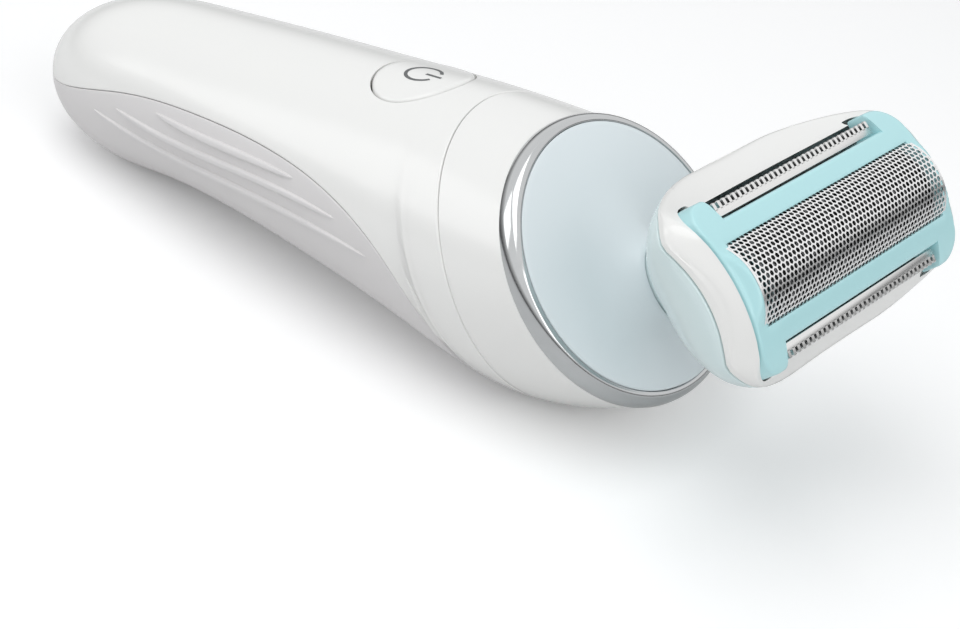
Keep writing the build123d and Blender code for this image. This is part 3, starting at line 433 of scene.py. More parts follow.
def skin(knot, angle, inset=0.0):
    """Point of the handle's skin. The angle is 0 at the far side, and a quarter turn at the top."""
    x_top, z_top, x_low, z_low, half_width = handle_curve(knot)
    rise = Vector((x_top - x_low, 0, z_top - z_low)) / 2
    middle = Vector((x_top + x_low, 0, z_top + z_low)) / 2
    up = rise * ((rise.length - inset) / rise.length * math.sin(angle))
    return middle + up + Vector((0, (half_width - inset) * math.cos(angle), 0))


def skin_at_side(x, z):
    """Knot and angle of the skin point that shows at x, z in the side view."""
    def ahead(knot):
        x_top, z_top, x_low, z_low, _ = handle_curve(knot)
        return (x_top - x_low) * (z - z_low) - (z_top - z_low) * (x - x_low)
    knot = crossing(ahead, 0.0, HANDLE_END)
    _, z_top, _, z_low, _ = handle_curve(knot)
    share = (z - z_low) / (z_top - z_low)
    return knot, math.asin(max(-1.0, min(1.0, 2 * share - 1)))


print("handle sections:", len(handle_rows), "length along the skin:", round(HANDLE_END, 1))

# %% [markdown]
# ## Where the mouldings meet
#
# The collar meets the shell on an arc in the side view. The soft grip's upper
# edge is a long lazy S that dives under the belly. Both edges are found on the
# skin itself, so the grids of the pieces end exactly on them.

# %% Seam and grip edge
SEAM = ((93.2, 0.0), (104.0, -18.7), (112.5, -41.5))
GRIP_EDGE = ((-1.0, -14.8), (12.5, -13.4), (29.0, -10.5), (48.0, -9.4), (66.0, -10.4),
             (80.5, -13.6), (91.5, -19.6), (98.5, -27.5), (104.5, -37.0))
SHUT_GAP = 0.05
SEAM_FROM = 8  # The seam is looked for in front of this section.

(ax, az), (bx, bz), (cx, cz) = SEAM
seam_system = np.array([[2 * (bx - ax), 2 * (bz - az)], [2 * (cx - ax), 2 * (cz - az)]])
seam_x, seam_z = np.linalg.solve(seam_system, [bx ** 2 + bz ** 2 - ax ** 2 - az ** 2,
                                               cx ** 2 + cz ** 2 - ax ** 2 - az ** 2])
seam_radius = math.hypot(ax - seam_x, az - seam_z)


def seam_knot(angle, offset=0.0):
    """Knot at which the skin crosses the collar seam, moved forward by offset."""
    def ahead(knot):
        point = skin(knot, angle)
        return math.hypot(point.x - offset - seam_x, point.z - seam_z) - seam_radius
    return crossing(ahead, handle_knots[SEAM_FROM], HANDLE_END)


BEHIND_TAIL = (-30.0, -14.8)
EDGE_SAMPLES = 300
edge_curve, edge_knots = curve_through(GRIP_EDGE)
edge_points = np.array([BEHIND_TAIL] + [edge_curve(k) for k in
                                        np.linspace(0, edge_knots[-1], EDGE_SAMPLES)])

TIP_LENGTH = 2.0
tip_knot, tip_angle = skin_at_side(*GRIP_EDGE[-1])
GRIP_TIP = tip_knot + TIP_LENGTH


def edge_angle(knot):
    """Angle at which a section crosses the grip edge, on the far side."""
    if knot > tip_knot:
        share = (knot - tip_knot) / TIP_LENGTH
        return tip_angle + (-math.pi / 2 - tip_angle) * (1 - math.sqrt(max(0.0, 1 - share ** 2)))

    def above(angle):
        point = skin(knot, angle)
        return point.z - float(np.interp(point.x, edge_points[:, 0], edge_points[:, 1]))
    tries = np.linspace(math.pi / 4, -math.pi / 2, 60)
    low = next((angle for angle in tries if above(angle) < 0), -math.pi / 2)
    return crossing(above, low, low + 0.05)


print("grip tip at knot", round(GRIP_TIP, 2), "seam from", round(seam_knot(math.pi / 2), 2),
      "to", round(seam_knot(-math.pi / 2), 2))

# %% [markdown]
# ## Upper shell
#
# The shell is one skin from the charging inlet to the collar. Behind the grip's
# tip it is open below, and there its two long borders follow the grip edge. In
# front of the tip it closes round the belly. A flat grid is wrapped on the form,
# given its wall, and its borders are rounded, so that a fine shadow line shows
# where the mouldings meet.

# %% Upper shell
INLET_RADIUS, SHELL_WALL, SKIN_ROUND = 3.4, 1.8, 0.22
AROUND = 96  # Faces across the shell, and across the grip.
GAP_RADIUS = 15.0  # The skin's mean radius turns a gap into an angle.
HANDLE_MIDDLE = (60, 0, -16)
rear_knots = np.concatenate([np.linspace(0, handle_knots[5], 26)[:-1],
                             np.linspace(handle_knots[5], tip_knot, 60)[:-1],
                             tip_knot + TIP_LENGTH * np.sin(np.linspace(0, math.pi / 2, 10))])
edge_angles = {round(float(k), 6): edge_angle(k) for k in rear_knots}
TAIL_ROWS, FRONT_ROWS = 3, 12
REAR_ROWS = TAIL_ROWS + len(rear_knots) - 1


def tail_face(angle, share):
    """Flat end of the tail, from the charging inlet out to the first section."""
    rim = skin(0.0, angle)
    hole = Vector((rim.x, INLET_RADIUS * math.cos(angle), TAIL_Z + INLET_RADIUS * math.sin(angle)))
    return hole.lerp(rim, share)


def wrap_upper(across, along):
    row = round(along * (REAR_ROWS + FRONT_ROWS))
    knot = float(rear_knots[max(0, min(row - TAIL_ROWS, len(rear_knots) - 1))])
    start = edge_angles[round(knot, 6)]
    start = min(start + SHUT_GAP / GAP_RADIUS, start + (math.pi / 2 + start) * 0.3)
    angle = start + across * (math.pi - 2 * start)
    if row < TAIL_ROWS:
        return tail_face(angle, row / TAIL_ROWS)
    front = (row - REAR_ROWS) / FRONT_ROWS
    if front > 0:
        knot = GRIP_TIP + front * (seam_knot(angle, -SHUT_GAP) - GRIP_TIP)
    return skin(knot, angle)


upper = outwards(wrapped_grid(AROUND, REAR_ROWS + FRONT_ROWS, wrap_upper), HANDLE_MIDDLE)
upper_shell = piece("white_shell", upper, HANDLE, "handle", "shell_white", ["upper_shell"])
add_wall(upper_shell, SHELL_WALL, SKIN_ROUND)
apply_modifiers(upper_shell)

# %% [markdown]
# The button sits in an oval opening. A boolean with an oval plug cuts it through
# the wall: the plug is a circle, stretched and extruded.

# %% Button opening
BUTTON_X, BUTTON_HALF = 80.5, (7.0, 8.4)
BUTTON_CLEARANCE = 0.3

plug = bmesh.new()
bmesh.ops.create_cone(plug, cap_ends=True, segments=96, radius1=1.0, radius2=1.0, depth=12.0)
plug_size = Matrix.Diagonal([half + BUTTON_CLEARANCE for half in BUTTON_HALF] + [1.0, 1.0])
bmesh.ops.transform(plug, verts=plug.verts,
                    matrix=HANDLE @ Matrix.Translation((BUTTON_X, 0, 0)) @ plug_size)
plug_object = add_object("button_plug", to_mesh("button_plug", plug))
cut = upper_shell.modifiers.new("button_opening", "BOOLEAN")
cut.operation = "DIFFERENCE"
cut.object = plug_object
cut.solver = "EXACT"
apply_modifiers(upper_shell)
bpy.data.objects.remove(plug_object)
print("shell faces after the opening:", len(upper_shell.data.polygons))

# %% [markdown]
# ## Soft grip
#
# The grip is the other side of the same edge. Its skin lies flush with the
# shell, as an overmoulding does. The sections shrink to a point at the tip, so
# the rows are packed closer there.

# %% Soft grip
GRIP_SKIN, GRIP_ROUND = 0.9, 0.2


def wrap_grip(across, along):
    row = round(along * REAR_ROWS)
    knot = float(rear_knots[max(0, row - TAIL_ROWS)])
    start = max(edge_angles[round(knot, 6)] - SHUT_GAP / GAP_RADIUS, -math.pi / 2)
    angle = start - across * (math.pi + 2 * start)
    if row < TAIL_ROWS:
        return tail_face(angle, row / TAIL_ROWS)
    return skin(knot, angle)


grip = outwards(wrapped_grid(AROUND, REAR_ROWS, wrap_grip), HANDLE_MIDDLE)
soft_grip = piece("soft_grip", grip, HANDLE, "handle", "grip_grey", ["grip_cover"])
add_wall(soft_grip, GRIP_SKIN, GRIP_ROUND)
apply_modifiers(soft_grip)

# %% [markdown]
# Three long ribs on each side give the fingers a hold. Each is a narrow blade
# with pointed ends. A strip of grid follows its centre line on the skin, and
# swells by most of a millimetre in the middle.

# %% Grip ribs
GRIP_RIBS = (
    ((22.3, -14.7), (34.0, -16.9), (56.5, -18.0), (77.5, -19.1), (88.2, -20.2)),
    ((28.2, -13.1), (38.0, -14.5), (55.0, -15.0), (72.1, -15.5), (81.2, -16.3)),
    ((38.6, -11.4), (46.0, -12.0), (54.5, -12.3), (63.0, -12.5), (71.6, -12.9)),
)
RIB_HEIGHT, RIB_HALF_WIDTH, RIB_SUNK = 0.8, 0.6, 0.06
RIB_TAPER = 0.4  # A small exponent keeps a rib wide until close to its points.

for number, points in enumerate(GRIP_RIBS, 1):
    line, line_knots = curve_through(points)
    for side, word in ((-1, "near"), (1, "far")):
        def wrap_rib(across, along):
            x, z = line(along * line_knots[-1])
            taper = (4 * along * (1 - along)) ** RIB_TAPER
            shift = 2 * across - 1
            knot, angle = skin_at_side(x, z + shift * RIB_HALF_WIDTH * taper)
            height = RIB_HEIGHT * taper * math.sqrt(max(0.0, 1 - shift ** 4)) - RIB_SUNK
            point = skin(knot, angle, -height)
            return Vector((point.x, side * point.y, point.z))
        rib = outwards(wrapped_grid(10, 70, wrap_rib), HANDLE_MIDDLE)
        piece("grip_rib_%d_%s" % (number, word), rib, HANDLE, "handle", "grip_grey")

# %% [markdown]
# ## Front collar
#
# The collar is a band of the same skin, from the seam to the bright ring. It is
# lofted ring by ring, from the seam's rounded edge to the front.

# %% Front collar
SEAM_EDGE = ((0.25, 0.0), (0.08, 0.09), (0.0, 0.28))  # Inset and setback of a rounded edge.
EDGE_BACK = SEAM_EDGE[-1][1]


def collar_ring(share, inset=0.0, back=0.0):
    """Ring of the collar, from its seam at 0 to the bright ring at 1."""
    def ring(turn):
        angle = 2 * math.pi * turn
        start = seam_knot(angle, SHUT_GAP)
        return skin(start + back + share * (HANDLE_END - start - back), angle, inset)
    return ring


collar_rings = [collar_ring(0, SHELL_WALL), collar_ring(0, SHELL_WALL / 2)]
collar_rings += [collar_ring(0, *edge) for edge in SEAM_EDGE]
collar_rings += [collar_ring(step / 14, 0.0, EDGE_BACK) for step in range(1, 15)]
collar_rings += [collar_ring(1.0, 1.0), collar_ring(1.0, SHELL_WALL)]
collar_rings += [collar_ring(1 - step / 5, SHELL_WALL) for step in range(1, 6)]
collar = outwards(lofted(128, collar_rings))
piece("white_collar", collar, HANDLE, "handle", "shell_white", ["front_collar"])

# %% [markdown]
# ## Bright ring and end face
#
# The ring is a turned profile on an oval path: a rounded chamfer and a flat lip.
# Each ring of the loft is an oval, smaller by an inset and raised to a level.

# %% Bright ring
FACE_COLUMNS = 160


def oval_ring(half, inset, level):
    """Oval ring, smaller than half by an inset, at a level."""
    def ring(turn):
        across, up = circle(turn)
        return Vector(((half[0] - inset) * across, (half[1] - inset) * up, level))
    return ring


# Each corner of the turned profile is an inset and a level.
bezel_profile = [(0.04, -2.70), (0.04, -2.45)]
for step in range(9):
    bow = math.radians(8 + 70 * step / 8)
    bezel_profile.append((1.36 - 1.36 * math.cos(bow) * 0.97, -2.4 + 2.42 * math.sin(bow)))
bezel_profile += [(1.25, 0.0), (1.5, 0.02), (1.72, -0.03), (1.8, -0.15), (1.8, -1.6),
                  (1.8, -2.7), (0.04, -2.7)]
bezel_rings = [oval_ring(BEZEL_BACK, inset, level) for inset, level in bezel_profile]
bezel = outwards(lofted(FACE_COLUMNS, bezel_rings))
piece("bright_ring", bezel, FACE, "handle", "bezel_chrome", ["chrome_bezel"], sharp=50)

# %% [markdown]
# The pale face is slightly crowned. Its socket tube behind the opening takes the
# head's spigot, so the tube and the two lugs of the drive's pivot belong to the
# same moulding.

# %% End face
PLATE_HALF = (20.52, 19.72)
NECK_Y, NECK_FLAT, SPIGOT_RADIUS, SOCKET_WALL = 3.0, 0.64, 5.6, 1.6
SOCKET_RADIUS = SPIGOT_RADIUS + 0.3
PLATE_CROWN, PLATE_CROWN_REACH, PLATE_THICKNESS = 0.6, 20.6, 2.5
FILLET_RISE, FILLET_REACH, FILLET_POWER = 3.6, 13.0, 2.4
HEAD_TO_FACE = FACE_IN_HANDLE.inverted() @ HEAD_IN_HANDLE


def crown(x, y):
    """Level of the crowned plate."""
    return PLATE_CROWN * (1 - (x * x + y * y) / PLATE_CROWN_REACH ** 2)


def neck_ring(radius, level):
    """Ring of an oval round the neck's axis, in the head frame."""
    def ring(turn):
        across, up = circle(turn)
        return Vector((NECK_FLAT * radius * across, NECK_Y + radius * up, level))
    return ring


def socket_point(turn, radius, level):
    """Point on the socket's wall where it meets a level of the face frame."""
    start = neck_ring(radius, 0.0)(turn)
    low, high = HEAD_TO_FACE @ (start + Vector((0, 0, -60))), HEAD_TO_FACE @ start
    share = (level - low.z) / (high.z - low.z)
    return low.lerp(high, share)


def collar_rise(spot):
    """Height of the low fillet that swells from the plate round the socket's mouth."""
    middle = socket_point(0.0, 0.0, PLATE_CROWN)
    away = math.hypot((spot.x - middle.x) / NECK_FLAT, spot.y - middle.y) - SOCKET_RADIUS
    return FILLET_RISE * max(0.0, 1 - away / FILLET_REACH) ** FILLET_POWER


def plate_ring(share, drop=0.0):
    """Ring of the plate's front, from its rim at 0 to the socket's mouth at 1."""
    def ring(turn):
        rim = oval_ring(PLATE_HALF, 0.0, 0.0)(turn)
        mouth = socket_point(turn, SOCKET_RADIUS, PLATE_CROWN)
        spot = rim.lerp(Vector((mouth.x, mouth.y, 0.0)), share)
        spot.z = crown(spot.x, spot.y) + collar_rise(spot) - drop
        return spot
    return ring


def tube_ring(radius, depth):
    """Ring of the socket's wall at a depth of the head frame."""
    return lambda turn: HEAD_TO_FACE @ neck_ring(radius, depth)(turn)


SOCKET_FLOOR, SOCKET_BACK, SEAL_BORE, SOCKET_OUTER = -41.2, -42.8, 3.2, SOCKET_RADIUS + SOCKET_WALL
plate_back = oval_ring(PLATE_HALF, 0.0, -PLATE_THICKNESS)
plate_rings = [plate_back, oval_ring(PLATE_HALF, 0.0, -0.3), plate_ring(0.0, 0.1)]
plate_rings += [plate_ring(0.012 + 0.976 * step / 30) for step in range(31)]
plate_rings += [plate_ring(1.0, 0.12)]
plate_rings += [tube_ring(*row) for row in ((SOCKET_RADIUS, -38.0), (SOCKET_RADIUS, SOCKET_FLOOR),
                                            (SEAL_BORE, SOCKET_FLOOR), (SEAL_BORE, SOCKET_BACK),
                                            (SOCKET_OUTER, SOCKET_BACK))]
plate_rings += [lambda turn: socket_point(turn, SOCKET_OUTER, -PLATE_THICKNESS), plate_back]
plate = outwards(lofted(FACE_COLUMNS, plate_rings))

LUG_WIDTH, LUG_HEIGHT, LUG_MIDDLE = 5.2, 5.0, -45.25
for low_y, high_y in ((-2.2, 0.2), (5.8, 8.2)):
    lug = bmesh.ops.create_cube(plate, size=1.0)["verts"]
    lug_place = (Matrix.Translation((0, (low_y + high_y) / 2, LUG_MIDDLE))
                 @ Matrix.Diagonal((LUG_WIDTH, high_y - low_y, LUG_HEIGHT, 1)))
    bmesh.ops.transform(plate, matrix=HEAD_TO_FACE @ lug_place, verts=lug)
piece("pale_end_face", plate, FACE, "handle", "plate_pale", ["face_plate"], sharp=40)

# %% [markdown]
# ## Power button
#
# The button's top follows the handle's own skin, a fifth of a millimetre proud.
# To find the skin from above, we look for the section that crosses each point.

# %% Power button
BUTTON_PROUD = -0.2  # A negative inset stands over the skin.


def skin_above(x, y, inset=0.0):
    """Top point of the handle's skin at x, y."""
    def angle_at(knot):
        half_width = handle_curve(knot)[4] - inset
        return math.acos(max(-1.0, min(1.0, y / half_width)))
    knot = crossing(lambda k: skin(k, angle_at(k), inset).x - x, handle_knots[6], HANDLE_END)
    return skin(knot, angle_at(knot), inset)


def button_ring(share, drop):
    """Ring of the button, a share of its size and lowered by drop from its top."""
    def ring(turn):
        across, up = circle(turn)
        x, y = BUTTON_X + BUTTON_HALF[0] * share * across, BUTTON_HALF[1] * share * up
        return Vector((x, y, skin_above(x, y, BUTTON_PROUD).z - drop))
    return ring


button_rings = [button_ring(*row) for row in ((0.0, 3.0), (0.98, 3.0), (1.0, 2.6), (1.0, 0.42),
                                              (0.99, 0.2), (0.965, 0.06))]
button_rings += [button_ring(0.93 * (1 - step / 10), 0.0) for step in range(11)]
button = outwards(lofted(96, button_rings))
piece("oval_button", button, HANDLE, "power_button", "shell_white", ["power_button"])

# %% [markdown]
# The generic power symbol is printed on the button: a ring with a gap towards
# the head, and a bar in the gap. Pad printing is a film of ink, so both are very
# thin strips that lie on the button's top.

# %% Power symbol
# A film of pad-printing ink is flat, matt and mid grey.
finishes["symbol_ink"] = plastic("grey_pad_print", "#5A5D5E", 0.45, 0.2, 0.0004)
SYMBOL_RADIUS, SYMBOL_STROKE, SYMBOL_GAP, INK_FILM = 2.7, 0.55, 30.0, 0.03
BAR_START, BAR_LENGTH = 0.5, 2.9


def ink_point(x, y):
    """Point of the ink's film over the button's top."""
    point = skin_above(BUTTON_X + x, y, BUTTON_PROUD)
    return Vector((BUTTON_X + x, y, point.z + INK_FILM))


def wrap_arc(across, along):
    angle = math.radians(SYMBOL_GAP + (360 - 2 * SYMBOL_GAP) * along)
    radius = SYMBOL_RADIUS + (across - 0.5) * SYMBOL_STROKE
    return ink_point(radius * math.cos(angle), radius * math.sin(angle))


def wrap_bar(across, along):
    return ink_point(BAR_START + BAR_LENGTH * along, (across - 0.5) * SYMBOL_STROKE)


symbol = wrapped_grid(2, 60, wrap_arc)
take_in(symbol, wrapped_grid(2, 8, wrap_bar))
outwards(symbol, (80, 0, -300))  # Away from far below, so both strips face up.
symbol_piece = piece("power_symbol", symbol, HANDLE, "power_button", "shell_white")
symbol_piece.data.materials[0] = finishes["symbol_ink"]

# %% [markdown]
# ## The head's form
#
# The head swells from a slim neck to a wide rounded rectangle. Its sections are
# rectangles with quarter ellipses for corners, stacked along the head's axis.

# %% Head sections
# Level, half sizes in X and Y, middle in Y, and the corner's reach in X and Y.
HEAD_ROWS = (
    (1.4, 24.5, 12.7, 0.2, 8.5, 5.2),
    (-2.5, 26.4, 13.3, 0.4, 10.0, 5.6),
    (-7.0, 26.5, 14.2, 0.6, 13.5, 7.2),
    (-11.5, 23.9, 14.4, 0.8, 16.0, 10.0),
    (-16.5, 18.9, 13.3, 1.2, 15.6, 11.0),
    (-21.0, 13.9, 11.6, 1.8, 12.4, 10.4),
    (-24.8, 9.3, 9.6, 2.5, 8.9, 9.1),
    (-27.3, 5.9, 7.6, 3.0, 5.6, 7.3),
    (-29.2, 3.9, 6.0, 3.0, 3.7, 5.8),
)
head_curve, head_knots = curve_through(HEAD_ROWS)
HEAD_END = head_knots[-1]
LEAST_CORNER = 0.3


def rounded_corner(half_x, half_y, corner_x, corner_y, turn):
    """Point a share of the way round a rectangle with elliptical corners."""
    quarter = int(turn * 4) % 4
    share = turn * 4 - int(turn * 4)
    if quarter % 2:
        share = 1 - share
    if share < 0.25:
        x, y = half_x, (half_y - corner_y) * share / 0.25
    elif share > 0.75:
        x, y = (half_x - corner_x) * (1 - share) / 0.25, half_y
    else:
        bend = math.radians((share - 0.25) * 180)
        x = half_x - corner_x + corner_x * math.cos(bend)
        y = half_y - corner_y + corner_y * math.sin(bend)
    return (x if quarter in (0, 3) else -x), (y if quarter in (0, 1) else -y)


def head_skin(knot, turn, inset=0.0):
    """Point of the head's skin. The turn is 0 at the far end and a quarter at the top."""
    z, half_x, half_y, middle_y, corner_x, corner_y = head_curve(knot)
    x, y = rounded_corner(half_x - inset, half_y - inset, max(LEAST_CORNER, corner_x - inset),
                          max(LEAST_CORNER, corner_y - inset), turn % 1.0)
    return Vector((x, middle_y + y, z))


def knot_at_level(level):
    """Knot at which the head's sections reach a level."""
    return crossing(lambda k: level - head_curve(k)[0], 0.0, HEAD_END)


print("head skin length:", round(HEAD_END, 1))

# %% [markdown]
# ## Arched top, scoops and seam of the head
#
# The top of the head is one height map: a long arch across, cut by a shallow
# scoop on each side of the foil. The seam between white rim and pale base is a
# curve of the head's cross-section.

# %% Height map of the head's top
ARCH_RADIUS, ARCH_CREST = 22.7, 0.65
SCOOP_RADIUS, SCOOP_START, SCOOP_SLOPE = 190.0, (10.4, -5.4), math.radians(53)
END_START, END_SLOPE, RIDGE_ROUND, SEAM_EASE, LEAST_RIM = 24.5, 1.4, 3.0, 5.0, 0.9
RIM_SEAM = ((0.0, -2.4), (7.0, -3.1), (9.6, -4.4), (11.5, -5.4), (13.4, -7.2), (15.4, -10.8),
            (18.0, -16.0))
seam_line, seam_knots = curve_through([(-y, z) for y, z in reversed(RIM_SEAM[1:])] + list(RIM_SEAM))
seam_samples = np.array([seam_line(k) for k in np.linspace(0, seam_knots[-1], 400)])


def arch(y):
    """Level of the long arch across the head."""
    return ARCH_CREST - ARCH_RADIUS + math.sqrt(ARCH_RADIUS ** 2 - y * y)


def rounding(gap, reach):
    """How far a ridge between two levels is rounded off, where they are a gap apart."""
    return max(0.0, 1 - abs(gap) / reach) ** 2 * reach / 4


def top_level(x, y):
    """Level of the rim's top: the arch, which slopes off at the ends, or the scoop if lower."""
    depth = SCOOP_RADIUS - math.sqrt(SCOOP_RADIUS ** 2 - x * x)
    scoop = (SCOOP_START[1] + (depth - (abs(y) - SCOOP_START[0]) * math.sin(SCOOP_SLOPE))
             / math.cos(SCOOP_SLOPE))
    crest = arch(y) - END_SLOPE * max(0.0, abs(x) - END_START)
    return min(crest, scoop) - rounding(crest - scoop, RIDGE_ROUND)


def rim_edge_knot(turn):
    """Knot at which the head's skin meets the rim's top."""
    def below(knot):
        point = head_skin(knot, turn)
        return top_level(point.x, point.y) - point.z
    return crossing(below, 0.0, knot_at_level(-15.0))


def rim_seam_knot(turn):
    """Knot at which the head's skin meets the seam of rim and base."""
    def below(knot):
        point = head_skin(knot, turn)
        return float(np.interp(point.y, seam_samples[:, 0], seam_samples[:, 1])) - point.z
    drawn, least = crossing(below, 0.0, knot_at_level(-16.5)), rim_edge_knot(turn) + LEAST_RIM
    return max(drawn, least) + rounding(drawn - least, SEAM_EASE)


print("rim top at the end:", round(top_level(26, 0), 2), "beside the comb:", round(top_level(0, 13), 2))

# %% [markdown]
# ## Pale base of the head
#
# The base starts at the seam with a rounded edge, swells and narrows to the neck
# and ends in the spigot, which plugs into the end face. The neck's end is cut
# parallel to that face. Inside, the base is hollow for the cutter and its drive.

# %% Head base
NECK_RADIUS, SPIGOT_BORE, SPIGOT_END = 5.8, 4.6, -39.8
HEAD_WALL, SEAM_GAP, NECK_GAP = 1.6, 0.15, 0.12


def base_ring(share, inset=0.0, back=0.0):
    """Ring of the base, from its seam at 0 to the neck at 1."""
    def ring(turn):
        start = rim_seam_knot(turn) + SEAM_GAP + back
        return head_skin(start + share * (HEAD_END - start), turn, inset)
    return ring


def neck_end_ring(radius):
    """Ring of the neck where it stands just off the end face."""
    level = PLATE_CROWN + FILLET_RISE + NECK_GAP
    return lambda turn: HEAD_TO_FACE.inverted() @ socket_point(turn, radius, level)


base_rings = [base_ring(0, HEAD_WALL), base_ring(0, HEAD_WALL / 2)]
base_rings += [base_ring(0, *edge) for edge in SEAM_EDGE]
base_rings += [base_ring(step / 26, 0.0, EDGE_BACK) for step in range(1, 27)]
base_rings += [neck_end_ring(NECK_RADIUS), neck_end_ring(SPIGOT_RADIUS),
               neck_ring(SPIGOT_RADIUS, SPIGOT_END + 0.5), neck_ring(SPIGOT_RADIUS - 0.4, SPIGOT_END),
               neck_ring(SPIGOT_BORE, SPIGOT_END), neck_ring(SPIGOT_BORE, -27.5)]
base_rings += [base_ring(1 - step / 12, HEAD_WALL) for step in range(2, 13)]
base = outwards(lofted(144, base_rings))
piece("pale_head_base", base, HEAD, "head", "head_pale", ["head_base"])

# %% [markdown]
# ## Head screws
#
# Two small screws hold the rim to the base, one at each end of the well. Each is
# turned round its axis, ring by ring, with a cross recess sunk in its head.

# %% Head screws
SCREW_X, SCREW_SHELF, SCREW_TIP = 20.95, -9.5, -12.6
screw_profile = [("cross", 0.0, -0.35), ("cross", 1.0, -0.35), ("cross", 1.0, 1.05), ("round", 1.3, 1.1),
                 ("round", 1.65, 1.05), ("round", 1.8, 0.85), ("round", 1.8, 0.0), ("round", 0.95, 0.0),
                 ("round", 0.95, -2.6), ("round", 0.5, -3.0), ("round", 0.0, SCREW_TIP - SCREW_SHELF)]


def screw_ring(kind, radius, level):
    """Ring of a screw, round or in the shape of the cross recess."""
    def ring(turn):
        across, up = circle(turn)
        reach = radius
        if kind == "cross":
            reach = radius * (0.3 + 0.6 * abs(circle(2 * turn)[0]) ** 4)
        return Vector((reach * across, reach * up, SCREW_SHELF + level))
    return ring


screws = bmesh.new()
for side in (-1, 1):
    screw = lofted(48, [screw_ring(*row) for row in screw_profile])
    bmesh.ops.translate(screw, verts=screw.verts, vec=(side * SCREW_X, 0, 0))
    take_in(screws, screw)
piece("zinc_head_screws", outwards(screws), HEAD, "head", "screw_steel", ["head_screws"])

# %% [markdown]
# ## White rim
#
# The rim is a ring of its own: up the outside from the seam, over the top, and
# down into the pocket where the floating frame sinks. Its inner border follows
# the frame's outline, and its outer border the head's skin, so the loft pairs
# each point of the pocket with the nearest point of the skin.

# %% White rim
POCKET_HALF, POCKET_NOTCH, POCKET_CORNER, POCKET_FLOOR = (24.6, 11.9), (18.7, 11.1), 4.6, -6.9
OUTLINE_SPACING, SKIN_STEPS = 0.75, 1440


def notched_outline(half, notch, corner):
    """Points round a rounded rectangle whose long sides are cut in between the ears."""
    quarter = [(half[0], 0.0), (half[0], half[1] - corner)]
    quarter += [(half[0] - corner + corner * math.cos(math.radians(a)),
                 half[1] - corner + corner * math.sin(math.radians(a))) for a in range(10, 90, 10)]
    quarter += [(half[0] - corner, half[1]), (notch[0] + 0.4, half[1]), (notch[0] + 0.12, half[1] - 0.12),
                (notch[0], half[1] - 0.4), (notch[0], notch[1]), (0.0, notch[1])]
    ring = quarter + [(-x, y) for x, y in reversed(quarter[:-1])]
    ring += [(x, -y) for x, y in reversed(ring[1:-1])]
    dense = []
    for (x0, y0), (x1, y1) in zip(ring, ring[1:] + ring[:1]):
        count = max(1, math.ceil(math.hypot(x1 - x0, y1 - y0) / OUTLINE_SPACING))
        dense += [Vector((x0 + (x1 - x0) * k / count, y0 + (y1 - y0) * k / count, 0))
                  for k in range(count)]
    return dense


pocket = notched_outline(POCKET_HALF, POCKET_NOTCH, POCKET_CORNER)
skin_turns = [k / SKIN_STEPS for k in range(SKIN_STEPS)]
skin_outline = [head_skin(knot_at_level(-4.0), turn) for turn in skin_turns]
pocket_turns = []
for spot in pocket:
    away = [(point.x - spot.x) ** 2 + (point.y - spot.y) ** 2 for point in skin_outline]
    pocket_turns.append(skin_turns[away.index(min(away))])
rim_tops = [rim_edge_knot(turn) for turn in pocket_turns]
rim_seams = [rim_seam_knot(turn) - SEAM_GAP for turn in pocket_turns]
rim_edges = [head_skin(knot, turn) for knot, turn in zip(rim_tops, pocket_turns)]
rim_widths = [math.hypot(*(edge - spot).xy) for edge, spot in zip(rim_edges, pocket)]
print("rim width from", round(min(rim_widths), 2), "to", round(max(rim_widths), 2))


LIP, SHOULDER, SHOULDER_SHARE = 0.3, 0.7, 0.4


def rim_ring(kind, amount, inset=0.0):
    """Ring of the rim: on the pocket's wall, across the top, or down the skin."""
    def ring(turn):
        column = round(turn * len(pocket)) % len(pocket)
        spot, edge = pocket[column], rim_edges[column]
        outward = Vector((edge.x - spot.x, edge.y - spot.y, 0))
        if kind == "wall":
            point = spot + outward.normalized() * inset
            level = POCKET_FLOOR if amount == "floor" else top_level(spot.x, spot.y) - amount
            return Vector((point.x, point.y, level))
        if kind == "top":
            start = min(LIP, 0.25 * outward.length)
            shoulder = min(SHOULDER, SHOULDER_SHARE * outward.length)
            reach = start + (outward.length - start - shoulder) * amount
            point = spot + outward.normalized() * reach
            return Vector((point.x, point.y, top_level(point.x, point.y)))
        start, end = rim_tops[column], rim_seams[column]
        return head_skin(start + (end - start) * amount, pocket_turns[column], inset)
    return ring


def rim_shoulder(inset, drop):
    """Rounded edge between the rim's top and the head's skin."""
    def ring(turn):
        column = round(turn * len(pocket)) % len(pocket)
        spot, edge = pocket[column], rim_edges[column]
        shrink = min(1.0, SHOULDER_SHARE * rim_widths[column] / SHOULDER)
        inwards = Vector((spot.x - edge.x, spot.y - edge.y, 0)).normalized() * (inset * shrink)
        x, y = edge.x + inwards.x, edge.y + inwards.y
        return Vector((x, y, top_level(x, y) - drop * shrink))
    return ring


rim_rings = [rim_ring("wall", "floor"), rim_ring("wall", 0.3), rim_ring("wall", 0.09, 0.09)]
rim_rings += [rim_ring("top", share) for share in (0.0, 0.17, 0.34, 0.5, 0.66, 0.83)]
rim_rings += [rim_shoulder(*row) for row in ((SHOULDER, 0.0), (0.45, 0.04), (0.2, 0.14), (0.05, 0.32))]
rim_rings += [rim_ring("skin", *row) for row in ((0.3,), (0.5,), (0.7,), (0.86,), (0.96, 0.03),
                                                 (1.0, 0.2), (1.0, HEAD_WALL))]
rim_rings += [rim_ring("wall", "floor")]
rim = outwards(lofted(len(pocket), rim_rings))
piece("white_head_rim", rim, HEAD, "head", "shell_white", ["head_rim"])

